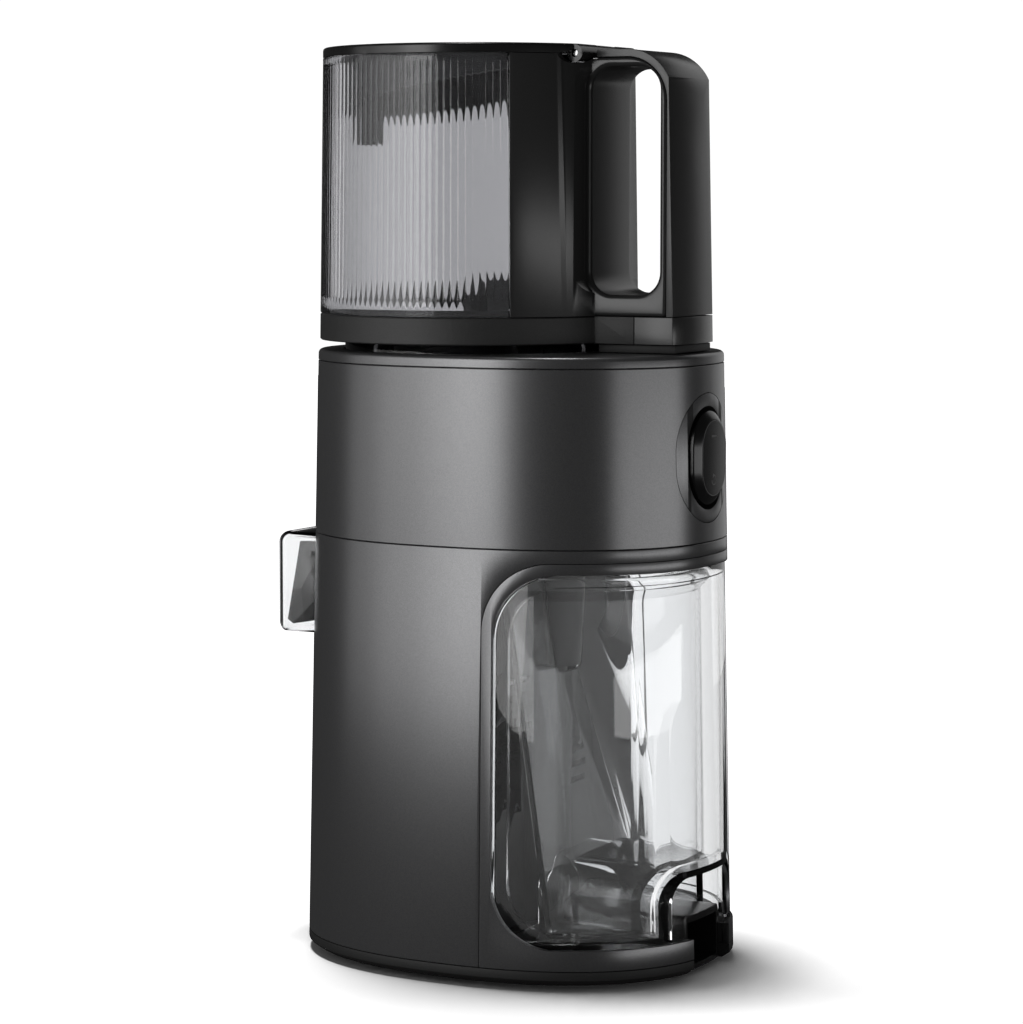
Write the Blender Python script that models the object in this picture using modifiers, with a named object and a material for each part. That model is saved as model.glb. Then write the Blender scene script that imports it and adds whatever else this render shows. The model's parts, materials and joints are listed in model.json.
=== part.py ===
"""A slim vertical slow juicer: motor base, juicing bowl, hopper with handle and lid, pulp container."""

import math

import bmesh
import bpy
from mathutils import Matrix, Vector

# Overall sizes, in metres. The body is a tapered oval, longest from front (-Y) to rear (+Y).
BODY_HALF_DEPTH = 0.0930     # at the middle seam
BODY_HALF_WIDTH = 0.0730
OVAL_POWER = 2.31            # 2 is an ellipse
TAPER = 0.23                 # growth of the oval for each metre downwards
OVAL_SIDES = 64
ROUND_SIDES = 40
LARGE_SIDES = 72             # hopper and lid
BOWL_SIDES = 56
CORNER_STEPS = 6
GAP = 0.0003                 # between touching pieces
REACH = 0.3                  # longer than the whole product, for cutters

# Heights of the stacked pieces.
FOOT_HEIGHT = 0.0025
PLATE_HEIGHT = 0.0061
LOWER_HEIGHT = 0.1804
UPPER_HEIGHT = 0.0764
RING_HEIGHT = 0.0049
FLANGE_LIFT = 0.0041         # open joint between the base and the flange
FLANGE_HEIGHT = 0.0117
HOPPER_HEIGHT = 0.1121
LID_HEIGHT = 0.0041
HANDLE_RISE = 0.0052         # handle top above the hopper rim

WALL = 0.0025
PLATE_CHAMFER = 0.0035
RING_ROUND = 0.0020

# Feet and screws.
FOOT_RADIUS = 0.0080
FOOT_X = 0.0380
FOOT_Y = 0.0560
SCREW_RADIUS = 0.0016
SCREW_HEAD_RADIUS = 0.0032
SCREW_HEAD_HEIGHT = 0.0020
SCREW_LENGTH = 0.0052
SCREW_X = 0.0520
SCREW_Y = 0.0300

# Container bay.
FRAME_FRONT = 0.0195         # outer seam of the window frame
FRAME_TOP_BAND = 0.0054      # housing left above the frame
FRAME_CORNER = 0.0300
FRAME_WALL = 0.0030
COVER_FRONT = 0.0247         # front edge of the clear cover
COVER_BOTTOM = 0.0180
COVER_TOP_BAND = 0.0053      # frame left above the cover
COVER_CORNER = 0.0280
COVER_WALL = 0.0025
COVER_INSET = 0.0012         # cover's outside behind the housing's
COVER_TRAVEL = 0.1100
BAY_FLOOR_THICKNESS = 0.0030
BAY_WALL_Y = 0.0080
BAY_WALL_THICKNESS = 0.0025
LOUVRE_PITCH = 0.0070
LOUVRE_COUNT = 9
LOUVRE_WIDTH = 0.0170
LOUVRE_HEIGHT = 0.0028
LOUVRE_BOTTOM = 0.0680
TUNNEL_HALF_WIDTH = 0.0300   # finger gap above the power inlet
TUNNEL_TOP = 0.0450
TUNNEL_CORNER = 0.0110
CUP_INSET = 0.0120
CUP_WALL = 0.0020
CUP_TOP_ROOM = 0.0031        # between the cup's rim and the cover's top
CUP_RIM_HEIGHT = 0.0090
CUP_RIM_FLARE = 0.0035
CUP_FRONT_TOP = 0.0225       # front wall of the cup at its rim
CUP_SLANT = 0.1330           # its slope, depth for each unit of height
CUP_CLEARANCE = 0.0010

# Power inlet and switch.
INLET_HALF_WIDTH = 0.0180
INLET_FRONT = 0.0330
INLET_TOP = 0.0270
INLET_BOTTOM = 0.0028
INLET_SET_BACK = 0.0050      # inside the oval
INLET_FLOOR = 0.0022
INLET_WALL = 0.0032
INLET_DEPTH = 0.0380
SOCKET_THICKNESS = 0.0080
SOCKET_PIN_RADIUS = 0.0016
SOCKET_PIN_LENGTH = 0.0090
SWITCH_DROP = 0.0018         # switch below the middle of the upper housing
SWITCH_HALF_WIDTH = 0.0250
SWITCH_HALF_HEIGHT = 0.0280
POCKET_HALF_WIDTH = 0.0172
POCKET_HALF_HEIGHT = 0.0225
POCKET_DEPTH = 0.0110
SWITCH_FLOOR = 0.0030
ROCKER_HALF_WIDTH = 0.0158
ROCKER_HALF_HEIGHT = 0.0205
ROCKER_THICKNESS = 0.0085
ROCKER_PROUD = 0.0028
ROCKER_BOSS_RADIUS = 0.0035
ROCKER_PIN_RADIUS = 0.0018

# Motor and gear train. The gears share one module.
GEAR_MODULE = 0.0010
PINION_TEETH = 10
WHEEL_TEETH = 50
SMALL_TEETH = 12
OUTPUT_TEETH = 36
TOOTH_HEIGHT = 0.0006        # above and below the pitch circle
PINION_HEIGHT = 0.0100
OUTPUT_HEIGHT = 0.0100
MOTOR_OFFSET = 0.0140        # motor axis behind the drive axis
MOTOR_RADIUS = 0.0250
MOTOR_BOTTOM = 0.0280
MOTOR_TOP_ROOM = 0.0150      # between the motor and the gearbox
MOTOR_WALL = 0.0022
ROTOR_RADIUS = 0.0170
SHAFT_RADIUS = 0.0030
COLUMN_WALL = 0.0020
FAN_RADIUS = 0.0220
FAN_BLADES = 7
FAN_HEIGHT = 0.0090
GEARBOX_DEPTH = 0.0412       # below the chamber deck
GEARBOX_WALL = 0.0025
GEARBOX_ROOM = 0.0025        # around the gears
POST_RADIUS = 0.0025
DRIVE_RADIUS = 0.0050
DRIVE_INTO_AUGER = 0.0300
DECK_THICKNESS = 0.0040
BOARD_THICKNESS = 0.0016
BOARD_HALF_WIDTH = 0.0280
BOARD_HEIGHT = 0.0560
BOARD_Y = 0.0600

# Juicing bowl. Its circle is the hopper's circle too.
BOWL_Y = -0.0205
BOWL_RADIUS = 0.0600
BOWL_WALL = 0.0025
BOWL_FLOOR = 0.0030
DUCT_HALF_WIDTH = 0.0130
DUCT_DEPTH = 0.0122          # below the chamber deck
DUCT_REAR = -0.0585
DUCT_FRONT = -0.0785
DUCT_WALL = 0.0022
CHUTE_X = 0.0100
CHUTE_Y = 0.0245
CHUTE_TOP_RADIUS = 0.0130
CHUTE_BOTTOM_RADIUS = 0.0100
CHUTE_DEPTH = 0.0512         # below the chamber deck
CHUTE_WALL = 0.0018
STRAINER_RADIUS = 0.0490
STRAINER_WALL = 0.0015
STRAINER_HEIGHT = 0.0720
STRAINER_FLOOR = 0.0020
STRAINER_SLOTS = 16
STRAINER_SLOT_WIDTH = 0.0022
AUGER_RADIUS = 0.0400
AUGER_CORE_RADIUS = 0.0260
AUGER_NECK_RADIUS = 0.0130
AUGER_TURNS = 2.5
FLIGHT_THICKNESS = 0.0050
WING_LENGTH = 0.0330
WING_HEIGHT = 0.0170
WING_THICKNESS = 0.0045
SEAL_HEIGHT = 0.0030
SEAL_WIDTH = 0.0030

# Flange, hopper and lid.
HOPPER_RADIUS = 0.0711       # at the flange
HOPPER_TAPER = 0.015
HOPPER_WALL = 0.0026
SPINE_HALF_WIDTH = 0.0205
SPINE_INSET = 0.0040         # rear of the handle inside the body's oval
FLANGE_SPLIT_Y = 0.0660
LEDGE_HALF_WIDTH = 0.0180
LEDGE_FRONT = 0.0480
WINDOW_REAR_ANGLE = 51.0     # degrees each side of the rear, where the window stops
HOPPER_FLOOR = 0.0030
HOPPER_MOUTH_RADIUS = 0.0380
HOLE_FRONT = 0.0450
HOLE_REAR = 0.0800
HOLE_BOTTOM_BAND = 0.0091    # hopper left below and above the handle's hole
HOLE_TOP_BAND = 0.0054
HOLE_CORNER = 0.0100
HANDLE_CORNER = 0.0220
HANDLE_COVER_THICKNESS = 0.0030
PARTITION = 0.0030           # between the hopper and the handle hole
HINGE_Y = 0.0420
BARREL_RADIUS = 0.0037
HINGE_PIN_RADIUS = 0.0014
LID_REAR = 0.0385
LID_SWING_ROOM = 0.0020
LID_ROUND = 0.0015
SKIRT_RADIUS = 0.0612
SKIRT_WALL = 0.0025
SKIRT_DEPTH = 0.0250
SKIRT_SHALLOW = 0.0030
TAB_WIDTH = 0.0170
TAB_DEPTH = 0.0385
TAB_ANGLE = -26.0            # degrees from +X

# Juice spout.
SPOUT_HALF_WIDTH = 0.0200
SPOUT_REACH = 0.0230         # in front of the oval at the middle seam
SPOUT_HEIGHT = 0.0466
SPOUT_DROP = 0.0034          # below the middle seam
SPOUT_WALL = 0.0020
SPOUT_ROUND = 0.0050
PORT_HALF_WIDTH = 0.0165
PORT_STEP = 0.0050           # port's lower edge above the spout's
FLAP_HALF_WIDTH = 0.0145
FLAP_PIN_RADIUS = 0.0015
FLAP_AXIS_BACK = 0.0165      # behind the spout's front
FLAP_AXIS_DROP = 0.0080      # axis below the spout's ceiling
FLAP_REAR_BACK = 0.0188
FLAP_TOP_BACK = 0.0095
FLAP_TIP_BACK = 0.0030
FLAP_TIP_RISE = 0.0060       # above the spout's lower edge

# Levels, from the heights above.
PLATE_TOP = FOOT_HEIGHT + PLATE_HEIGHT
LOWER_BOTTOM = PLATE_TOP + GAP
LOWER_TOP = LOWER_BOTTOM + LOWER_HEIGHT
UPPER_BOTTOM = LOWER_TOP + GAP
UPPER_TOP = UPPER_BOTTOM + UPPER_HEIGHT
RING_BOTTOM = UPPER_TOP + GAP
RING_TOP = RING_BOTTOM + RING_HEIGHT
FLANGE_BOTTOM = RING_TOP + FLANGE_LIFT
FLANGE_TOP = FLANGE_BOTTOM + FLANGE_HEIGHT
HOPPER_BOTTOM = FLANGE_TOP + GAP
HOPPER_TOP = HOPPER_BOTTOM + HOPPER_HEIGHT
LID_BOTTOM = HOPPER_TOP + GAP
LID_TOP = LID_BOTTOM + LID_HEIGHT
HANDLE_TOP = HOPPER_TOP + HANDLE_RISE
FRAME_TOP = LOWER_TOP - FRAME_TOP_BAND
COVER_TOP = FRAME_TOP - COVER_TOP_BAND
CUP_TOP = COVER_TOP - CUP_TOP_ROOM
SWITCH_HEIGHT = UPPER_BOTTOM + UPPER_HEIGHT / 2 - SWITCH_DROP
HOLE_BOTTOM = HOPPER_BOTTOM + HOLE_BOTTOM_BAND
HOLE_TOP = HOPPER_TOP - HOLE_TOP_BAND
DECK_BOTTOM = FRAME_TOP + GAP
DECK_TOP = DECK_BOTTOM + DECK_THICKNESS
BOWL_BOTTOM = DECK_TOP + GAP
BOWL_INSIDE = BOWL_BOTTOM + BOWL_FLOOR
BOWL_TOP = FLANGE_BOTTOM - GAP
BAY_FLOOR_TOP = COVER_BOTTOM - GAP
GEARBOX_BOTTOM = DECK_BOTTOM - GEARBOX_DEPTH
DUCT_BOTTOM = DECK_BOTTOM - DUCT_DEPTH
CHUTE_BOTTOM = DECK_BOTTOM - CHUTE_DEPTH
COLUMN_RADIUS = MOTOR_RADIUS + GAP + COLUMN_WALL
MOTOR_Y = BOWL_Y + MOTOR_OFFSET
MOTOR_TOP = GEARBOX_BOTTOM - MOTOR_TOP_ROOM
GEARBOX_TOP = DECK_BOTTOM - GAP
GEAR_FLOOR = GEARBOX_BOTTOM + GEARBOX_WALL
WHEEL_BOTTOM = GEAR_FLOOR + 0.0010
SMALL_BOTTOM = WHEEL_BOTTOM + PINION_HEIGHT + 0.0020
FIRST_DISTANCE = GEAR_MODULE * (PINION_TEETH + WHEEL_TEETH) / 2
SECOND_DISTANCE = GEAR_MODULE * (SMALL_TEETH + OUTPUT_TEETH) / 2
WHEEL_OFFSET = (MOTOR_OFFSET ** 2 + SECOND_DISTANCE ** 2 - FIRST_DISTANCE ** 2) / (2 * MOTOR_OFFSET)
WHEEL_Y = BOWL_Y + WHEEL_OFFSET
WHEEL_X = math.sqrt(SECOND_DISTANCE ** 2 - WHEEL_OFFSET ** 2)
AUGER_BOTTOM = BOWL_INSIDE + STRAINER_FLOOR + 2 * GAP + 0.0012
AUGER_TOP = FLANGE_TOP - 0.0030
HINGE_HEIGHT = LID_BOTTOM
SPOUT_FRONT = -BODY_HALF_DEPTH - SPOUT_REACH
SPOUT_TOP = LOWER_TOP - SPOUT_DROP
SPOUT_BOTTOM = SPOUT_TOP - SPOUT_HEIGHT
PORT_BOTTOM = SPOUT_BOTTOM + PORT_STEP
PORT_TOP = SPOUT_TOP - SPOUT_WALL

INLET_REAR = BODY_HALF_DEPTH * (1 + TAPER * (LOWER_TOP - INLET_TOP)) - INLET_SET_BACK

FINISHES = {
    # colour, roughness, metallic
    "gunmetal": ((0.055, 0.055, 0.058), 0.45, 0.6),
    "satin_black": ((0.012, 0.012, 0.013), 0.30, 0.0),
    "matte_black": ((0.020, 0.020, 0.021), 0.60, 0.0),
    "clear": ((0.85, 0.87, 0.88), 0.08, 0.0),
    "smoke": ((0.25, 0.25, 0.27), 0.15, 0.0),
    "rubber": ((0.015, 0.015, 0.015), 0.85, 0.0),
    "steel": ((0.55, 0.55, 0.56), 0.30, 1.0),
    "zinc": ((0.42, 0.43, 0.45), 0.40, 1.0),
    "nylon": ((0.75, 0.73, 0.66), 0.50, 0.0),
    "board": ((0.02, 0.16, 0.07), 0.45, 0.0),
}


def new_collection(name):
    collection = bpy.data.collections.new(name)
    bpy.context.scene.collection.children.link(collection)
    return collection


def clear_scene():
    for item in list(bpy.data.objects):
        bpy.data.objects.remove(item, do_unlink=True)


clear_scene()
JUICER = new_collection("slow_juicer")
CUTTERS = new_collection("cutters")
ROOT = bpy.data.objects.new("juicer_root", None)
JUICER.objects.link(ROOT)


def material(name, finish):
    colour, roughness, metallic = FINISHES[finish]
    shader = bpy.data.materials.new(name)
    shader.use_nodes = True
    principled = shader.node_tree.nodes["Principled BSDF"]
    principled.inputs["Base Color"].default_value = (*colour, 1.0)
    principled.inputs["Roughness"].default_value = roughness
    principled.inputs["Metallic"].default_value = metallic
    return shader


def finish_piece(piece, finish, parent=None):
    """Give a solid its material, smooth shading and place in the assembly."""
    piece.data.materials.append(material(piece.name + "_material", finish))
    piece.data.shade_smooth()
    piece.data.set_sharp_from_angle(angle=math.radians(35))
    piece.parent = parent or ROOT
    if parent:
        piece.matrix_parent_inverse = Matrix.Translation(-parent.location)
    return piece


def pivot(name, location):
    """An empty on a joint's axis, in the oval's own coordinates."""
    empty = bpy.data.objects.new(name, None)
    empty.location = location
    empty.parent = ROOT
    JUICER.objects.link(empty)
    return empty


def from_bmesh(name, bm):
    bmesh.ops.recalc_face_normals(bm, faces=bm.faces)
    mesh = bpy.data.meshes.new(name)
    bm.to_mesh(mesh)
    bm.free()
    piece = bpy.data.objects.new(name, mesh)
    JUICER.objects.link(piece)
    return piece


def as_cutter(piece):
    JUICER.objects.unlink(piece)
    CUTTERS.objects.link(piece)
    piece.parent = ROOT
    piece.hide_render = True
    piece.display_type = "WIRE"
    return piece


def boolean(piece, tool, operation):
    if tool.name not in CUTTERS.objects:
        as_cutter(tool)
    modifier = piece.modifiers.new(operation.lower(), "BOOLEAN")
    modifier.operation = operation
    modifier.solver = "EXACT"
    modifier.object = tool
    return piece


def cut(piece, *tools):
    for tool in tools:
        boolean(piece, tool, "DIFFERENCE")
    return piece


def add(piece, *tools):
    for tool in tools:
        boolean(piece, tool, "UNION")
    return piece


def keep(piece, tool):
    return boolean(piece, tool, "INTERSECT")


def box(name, x, y, z, radius=0.0, along="Y", corners="all"):
    """A box from (low, high) pairs, with the edges along one axis rounded."""
    bm = bmesh.new()
    size = Vector((x[1] - x[0], y[1] - y[0], z[1] - z[0]))
    centre = Vector((x[0] + x[1], y[0] + y[1], z[0] + z[1])) / 2
    bmesh.ops.create_cube(bm, size=1.0, matrix=Matrix.Translation(centre) @ Matrix.Diagonal((*size, 1)))
    if radius > 0:
        axis = "XYZ".index(along)
        tests = {
            "all": lambda middle: True,
            "top": lambda middle: middle.z > centre.z,
            "front": lambda middle: middle.y < centre.y,
            "rear": lambda middle: middle.y > centre.y,
            "top_front": lambda middle: middle.z > centre.z and middle.y < centre.y,
            "top_rear": lambda middle: middle.z > centre.z and middle.y > centre.y,
        }
        edges = []
        for edge in bm.edges:
            first, second = (vertex.co for vertex in edge.verts)
            runs_along = abs(first[axis] - second[axis]) > size[axis] / 2
            if runs_along and tests[corners]((first + second) / 2):
                edges.append(edge)
        bmesh.ops.bevel(bm, geom=edges, offset=radius, segments=CORNER_STEPS, profile=0.5, affect="EDGES")
    return from_bmesh(name, bm)


def cylinder(name, radius, low, high, centre=(0, 0), top_radius=None, along="Z", sides=ROUND_SIDES):
    """A cylinder or cone between two places on its own axis; centre holds the other two coordinates."""
    bm = bmesh.new()
    turn = {"Z": Matrix(), "X": Matrix.Rotation(math.pi / 2, 4, "Y"), "Y": Matrix.Rotation(-math.pi / 2, 4, "X")}
    middle = (low + high) / 2
    place = {
        "Z": (centre[0], centre[1], middle),
        "X": (middle, centre[0], centre[1]),
        "Y": (centre[0], middle, centre[1]),
    }
    bmesh.ops.create_cone(
        bm, cap_ends=True, segments=sides, radius1=radius,
        radius2=radius if top_radius is None else top_radius, depth=high - low,
        matrix=Matrix.Translation(place[along]) @ turn[along])
    return from_bmesh(name, bm)


def turned(name, profile, centre=(0, 0), sides=ROUND_SIDES):
    """A turned piece from (radius, height) points, down its outer side."""
    bm = bmesh.new()
    points = [bm.verts.new((radius, 0, height)) for radius, height in profile]
    closed = profile[0][0] > 0
    for first, second in zip(points, points[1:]):
        bm.edges.new((first, second))
    if closed:
        bm.edges.new((points[-1], points[0]))
    mesh = bpy.data.meshes.new(name)
    bm.to_mesh(mesh)
    bm.free()
    piece = bpy.data.objects.new(name, mesh)
    JUICER.objects.link(piece)
    piece.location = (centre[0], centre[1], 0)
    screw = piece.modifiers.new("turn", "SCREW")
    screw.steps = sides
    screw.render_steps = sides
    screw.use_merge_vertices = True
    screw.merge_threshold = 0.00001
    return piece


def oval_point(angle, height, inset):
    scale = 1 + TAPER * (LOWER_TOP - height)
    power = 2 / OVAL_POWER
    across = math.cos(angle)
    along = math.sin(angle)
    return (
        (BODY_HALF_WIDTH * scale - inset) * math.copysign(abs(across) ** power, across),
        (BODY_HALF_DEPTH * scale - inset) * math.copysign(abs(along) ** power, along),
    )


def oval_stack(name, sections, ring=False):
    """Extrude the body's oval through (height, inset) sections; a ring closes on its first section."""
    bm = bmesh.new()
    angle_of = bm.verts.layers.float.new("angle")
    made = bmesh.ops.create_circle(bm, cap_ends=False, segments=OVAL_SIDES, radius=1.0)
    for index, vertex in enumerate(made["verts"]):
        vertex[angle_of] = math.tau * index / OVAL_SIDES
    first_edges = list(bm.edges)
    edges = first_edges
    vertices = made["verts"]
    for number, (height, inset) in enumerate(sections):
        if number:
            made = bmesh.ops.extrude_edge_only(bm, edges=edges)
            edges = [item for item in made["geom"] if isinstance(item, bmesh.types.BMEdge)]
            vertices = [item for item in made["geom"] if isinstance(item, bmesh.types.BMVert)]
        for vertex in vertices:
            vertex.co = (*oval_point(vertex[angle_of], height, inset), height)
    if ring:
        bmesh.ops.bridge_loops(bm, edges=first_edges + edges)
    else:
        bmesh.ops.edgeloop_fill(bm, edges=first_edges)
        bmesh.ops.edgeloop_fill(bm, edges=edges)
    return from_bmesh(name, bm)


def oval_solid(name, low, high, inset=0.0):
    return oval_stack(name, [(low, inset), (high, inset)])


def oval_tube(name, low, high, wall, inset=0.0):
    sections = [(low, inset), (high, inset), (high, inset + wall), (low, inset + wall)]
    return oval_stack(name, sections, ring=True)


def stadium(name, half_width, half_height, y, height):
    """An upright slot shape with round ends, extruded along Y."""
    return box(name, (-half_width, half_width), y, (height - half_height, height + half_height),
               radius=half_width * 0.999)


def gear(name, teeth, low, high, centre, phase, bore=0.0):
    """A spur gear with straight-sided teeth; phase is the direction of one tooth."""
    pitch = GEAR_MODULE * teeth / 2
    radii = (pitch - TOOTH_HEIGHT * 1.7, pitch + TOOTH_HEIGHT, pitch + TOOTH_HEIGHT, pitch - TOOTH_HEIGHT * 1.7)
    shares = (-0.24, -0.12, 0.12, 0.24)
    bm = bmesh.new()
    made = bmesh.ops.create_circle(bm, cap_ends=True, segments=4 * teeth, radius=1.0)
    for index, vertex in enumerate(made["verts"]):
        tooth, corner = divmod(index, 4)
        angle = phase + math.tau * (tooth + shares[corner]) / teeth
        vertex.co = (centre[0] + radii[corner] * math.cos(angle),
                     centre[1] + radii[corner] * math.sin(angle), low)
    made = bmesh.ops.extrude_face_region(bm, geom=list(bm.faces))
    raised = [item for item in made["geom"] if isinstance(item, bmesh.types.BMVert)]
    bmesh.ops.translate(bm, verts=raised, vec=(0, 0, high - low))
    wheel = from_bmesh(name, bm)
    if bore:
        cut(wheel, cylinder(name + "_bore", bore, low - GAP * 4, high + GAP * 4, centre, sides=24))
    return wheel


def angle_to(start, end):
    return math.atan2(end[1] - start[1], end[0] - start[0])


# ---------------------------------------------------------------- base

def feet():
    for side, x in (("left", -FOOT_X), ("right", FOOT_X)):
        for place, y in (("front", -FOOT_Y), ("rear", FOOT_Y)):
            foot = cylinder(f"foot_{place}_{side}", FOOT_RADIUS * 0.9, 0, FOOT_HEIGHT - GAP, (x, y),
                            top_radius=FOOT_RADIUS, sides=24)
            finish_piece(foot, "rubber")


def inlet_notch(name, low, high):
    """The way left for the power inlet through the plates at the rear."""
    return box(name, (-INLET_HALF_WIDTH - GAP, INLET_HALF_WIDTH + GAP), (INLET_FRONT - GAP, REACH), (low, high))


def bottom_plate():
    plate = oval_stack("bottom_plate", [
        (FOOT_HEIGHT, PLATE_CHAMFER), (FOOT_HEIGHT + PLATE_CHAMFER * 0.7, 0.0), (PLATE_TOP, 0.0)])
    cut(plate, inlet_notch("plate_notch", -PLATE_HEIGHT, PLATE_TOP + GAP * 2))
    for index, (x, y) in enumerate(screw_places()):
        cut(plate, cylinder(f"screw_hole_{index}", SCREW_RADIUS + GAP, 0, PLATE_TOP + GAP * 2, (x, y), sides=16))
        cut(plate, cylinder(f"screw_recess_{index}", SCREW_HEAD_RADIUS + GAP, 0,
                            FOOT_HEIGHT + SCREW_HEAD_HEIGHT + GAP, (x, y), sides=16))
    return finish_piece(plate, "matte_black")


def screw_places():
    return [(x, y) for x in (-SCREW_X, SCREW_X) for y in (-SCREW_Y, SCREW_Y)]


def base_screws():
    head = FOOT_HEIGHT + SCREW_HEAD_HEIGHT
    for index, (x, y) in enumerate(screw_places()):
        screw = turned(f"base_screw_{index + 1}", [
            (0, head + SCREW_LENGTH - SCREW_HEAD_HEIGHT), (SCREW_RADIUS, head + SCREW_LENGTH - SCREW_HEAD_HEIGHT),
            (SCREW_RADIUS, head), (SCREW_HEAD_RADIUS, head), (SCREW_HEAD_RADIUS, FOOT_HEIGHT + GAP),
            (0, FOOT_HEIGHT + GAP)], (x, y), sides=16)
        finish_piece(screw, "steel")


def lower_housing():
    shell = oval_tube("lower_housing", LOWER_BOTTOM, LOWER_TOP, WALL)
    cut(shell, box("frame_opening", (-REACH, REACH), (FRAME_FRONT, REACH), (-REACH, FRAME_TOP),
                   radius=FRAME_CORNER, along="X", corners="top_front"))
    cut(shell, box("spout_port", (-PORT_HALF_WIDTH, PORT_HALF_WIDTH), (-REACH, 0), (PORT_BOTTOM, PORT_TOP),
                   radius=0.004, along="Y"))
    return finish_piece(shell, "gunmetal")


def window_frame():
    """The arch round the container opening, flush with the housing."""
    frame = oval_tube("window_frame", LOWER_BOTTOM, FRAME_TOP - GAP, FRAME_WALL)
    keep(frame, box("frame_outline", (-REACH, REACH), (FRAME_FRONT + GAP, REACH), (-REACH, FRAME_TOP - GAP),
                    radius=FRAME_CORNER, along="X", corners="top_front"))
    cut(frame, box("cover_opening", (-REACH, REACH), (COVER_FRONT - GAP, REACH),
                   (COVER_BOTTOM - GAP, COVER_TOP + GAP), radius=COVER_CORNER, along="X", corners="top_front"))
    cut(frame, inlet_notch("frame_notch", -REACH, COVER_BOTTOM + GAP))
    return finish_piece(frame, "gunmetal")


def bay_floor():
    floor = oval_solid("bay_floor", LOWER_BOTTOM, BAY_FLOOR_TOP, FRAME_WALL + GAP)
    start = BAY_WALL_Y + BAY_WALL_THICKNESS + GAP
    keep(floor, box("bay_floor_outline", (-REACH, REACH), (start, REACH), (-REACH, REACH)))
    pocket = oval_solid("bay_floor_pocket", -REACH / 10, BAY_FLOOR_TOP - BAY_FLOOR_THICKNESS, FRAME_WALL + 2 * WALL + 2 * GAP)
    rib = INLET_HALF_WIDTH + GAP + WALL
    for side, x in (("left", (-REACH, -rib)), ("right", (rib, REACH))):
        half = box(f"bay_floor_{side}", x, (COLUMN_RADIUS + MOTOR_Y + WALL * 2, REACH), (-REACH, REACH))
        cut(floor, keep(half, pocket))
    cut(floor, inlet_notch("floor_notch", -REACH, REACH))
    cut(floor, cylinder("column_room", COLUMN_RADIUS + GAP, -REACH, REACH, (0, MOTOR_Y)))
    return finish_piece(floor, "matte_black")


def bay_wall():
    """The wall in front of the container, with louvres and a half-round column for the motor."""
    rear = BAY_WALL_Y + BAY_WALL_THICKNESS
    column_top = CHUTE_BOTTOM - 0.0020
    wall = box("bay_wall", (-REACH, REACH), (BAY_WALL_Y, rear), (LOWER_BOTTOM, GEARBOX_TOP))
    keep(wall, oval_solid("bay_wall_outline", -REACH / 10, REACH, WALL + GAP))
    column = cylinder("motor_column", COLUMN_RADIUS, LOWER_BOTTOM, column_top, (0, MOTOR_Y))
    keep(column, box("column_rear", (-REACH, REACH), (BAY_WALL_Y, REACH), (-REACH, REACH)))
    add(wall, column)
    cut(wall, cylinder("column_inside", COLUMN_RADIUS - COLUMN_WALL, -REACH, column_top - COLUMN_WALL, (0, MOTOR_Y)))
    column_edge = math.sqrt(COLUMN_RADIUS ** 2 - (rear - MOTOR_Y) ** 2)
    for side in (-1, 1):
        middle = side * (column_edge + LOUVRE_WIDTH / 2 + WALL)
        for index in range(LOUVRE_COUNT):
            bottom = LOUVRE_BOTTOM + index * LOUVRE_PITCH
            cut(wall, box(f"louvre_{side}_{index}", (middle - LOUVRE_WIDTH / 2, middle + LOUVRE_WIDTH / 2),
                          (BAY_WALL_Y - WALL, rear + WALL), (bottom, bottom + LOUVRE_HEIGHT)))
    return finish_piece(wall, "matte_black")


def chamber_deck():
    deck = oval_solid("chamber_deck", DECK_BOTTOM, DECK_TOP, WALL + GAP)
    cut(deck, cylinder("drive_hole", DRIVE_RADIUS + GAP, DECK_BOTTOM - WALL, DECK_TOP + WALL, (0, BOWL_Y)))
    cut(deck, box("duct_hole", (-DUCT_HALF_WIDTH - 2 * GAP, DUCT_HALF_WIDTH + 2 * GAP),
                  (DUCT_FRONT - 2 * GAP, DUCT_REAR + 2 * GAP), (DECK_BOTTOM - WALL, DECK_TOP + WALL)))
    cut(deck, cylinder("chute_hole", CHUTE_TOP_RADIUS + 2 * GAP, DECK_BOTTOM - WALL, DECK_TOP + WALL,
                       (CHUTE_X, CHUTE_Y)))
    return finish_piece(deck, "matte_black")


def upper_housing():
    shell = oval_tube("upper_housing", UPPER_BOTTOM, UPPER_TOP, WALL)
    cut(shell, stadium("switch_opening", SWITCH_HALF_WIDTH + GAP, SWITCH_HALF_HEIGHT + GAP, (0, REACH), SWITCH_HEIGHT))
    return finish_piece(shell, "gunmetal")


def top_ring():
    ring = oval_stack("top_ring", [
        (RING_BOTTOM, 0.0), (RING_TOP - RING_ROUND, 0.0), (RING_TOP - RING_ROUND * 0.3, RING_ROUND * 0.3),
        (RING_TOP, RING_ROUND)])
    cut(ring, cylinder("bowl_hole", BOWL_RADIUS + 2 * GAP, 0, REACH * 2, (0, BOWL_Y), sides=BOWL_SIDES))
    return finish_piece(ring, "gunmetal")


def inlet_housing():
    arch = box("inlet_housing", (-INLET_HALF_WIDTH, INLET_HALF_WIDTH), (INLET_FRONT, REACH),
               (INLET_BOTTOM, INLET_TOP), radius=0.003, along="Y", corners="top")
    keep(arch, oval_solid("inlet_outline", -REACH / 10, REACH / 3, INLET_SET_BACK))
    recess_front = INLET_REAR - INLET_DEPTH
    cut(arch, box("inlet_recess", (-INLET_HALF_WIDTH + INLET_WALL, INLET_HALF_WIDTH - INLET_WALL),
                  (recess_front, REACH), (INLET_BOTTOM + INLET_FLOOR, INLET_TOP - INLET_WALL)))
    return finish_piece(arch, "satin_black")


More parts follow.
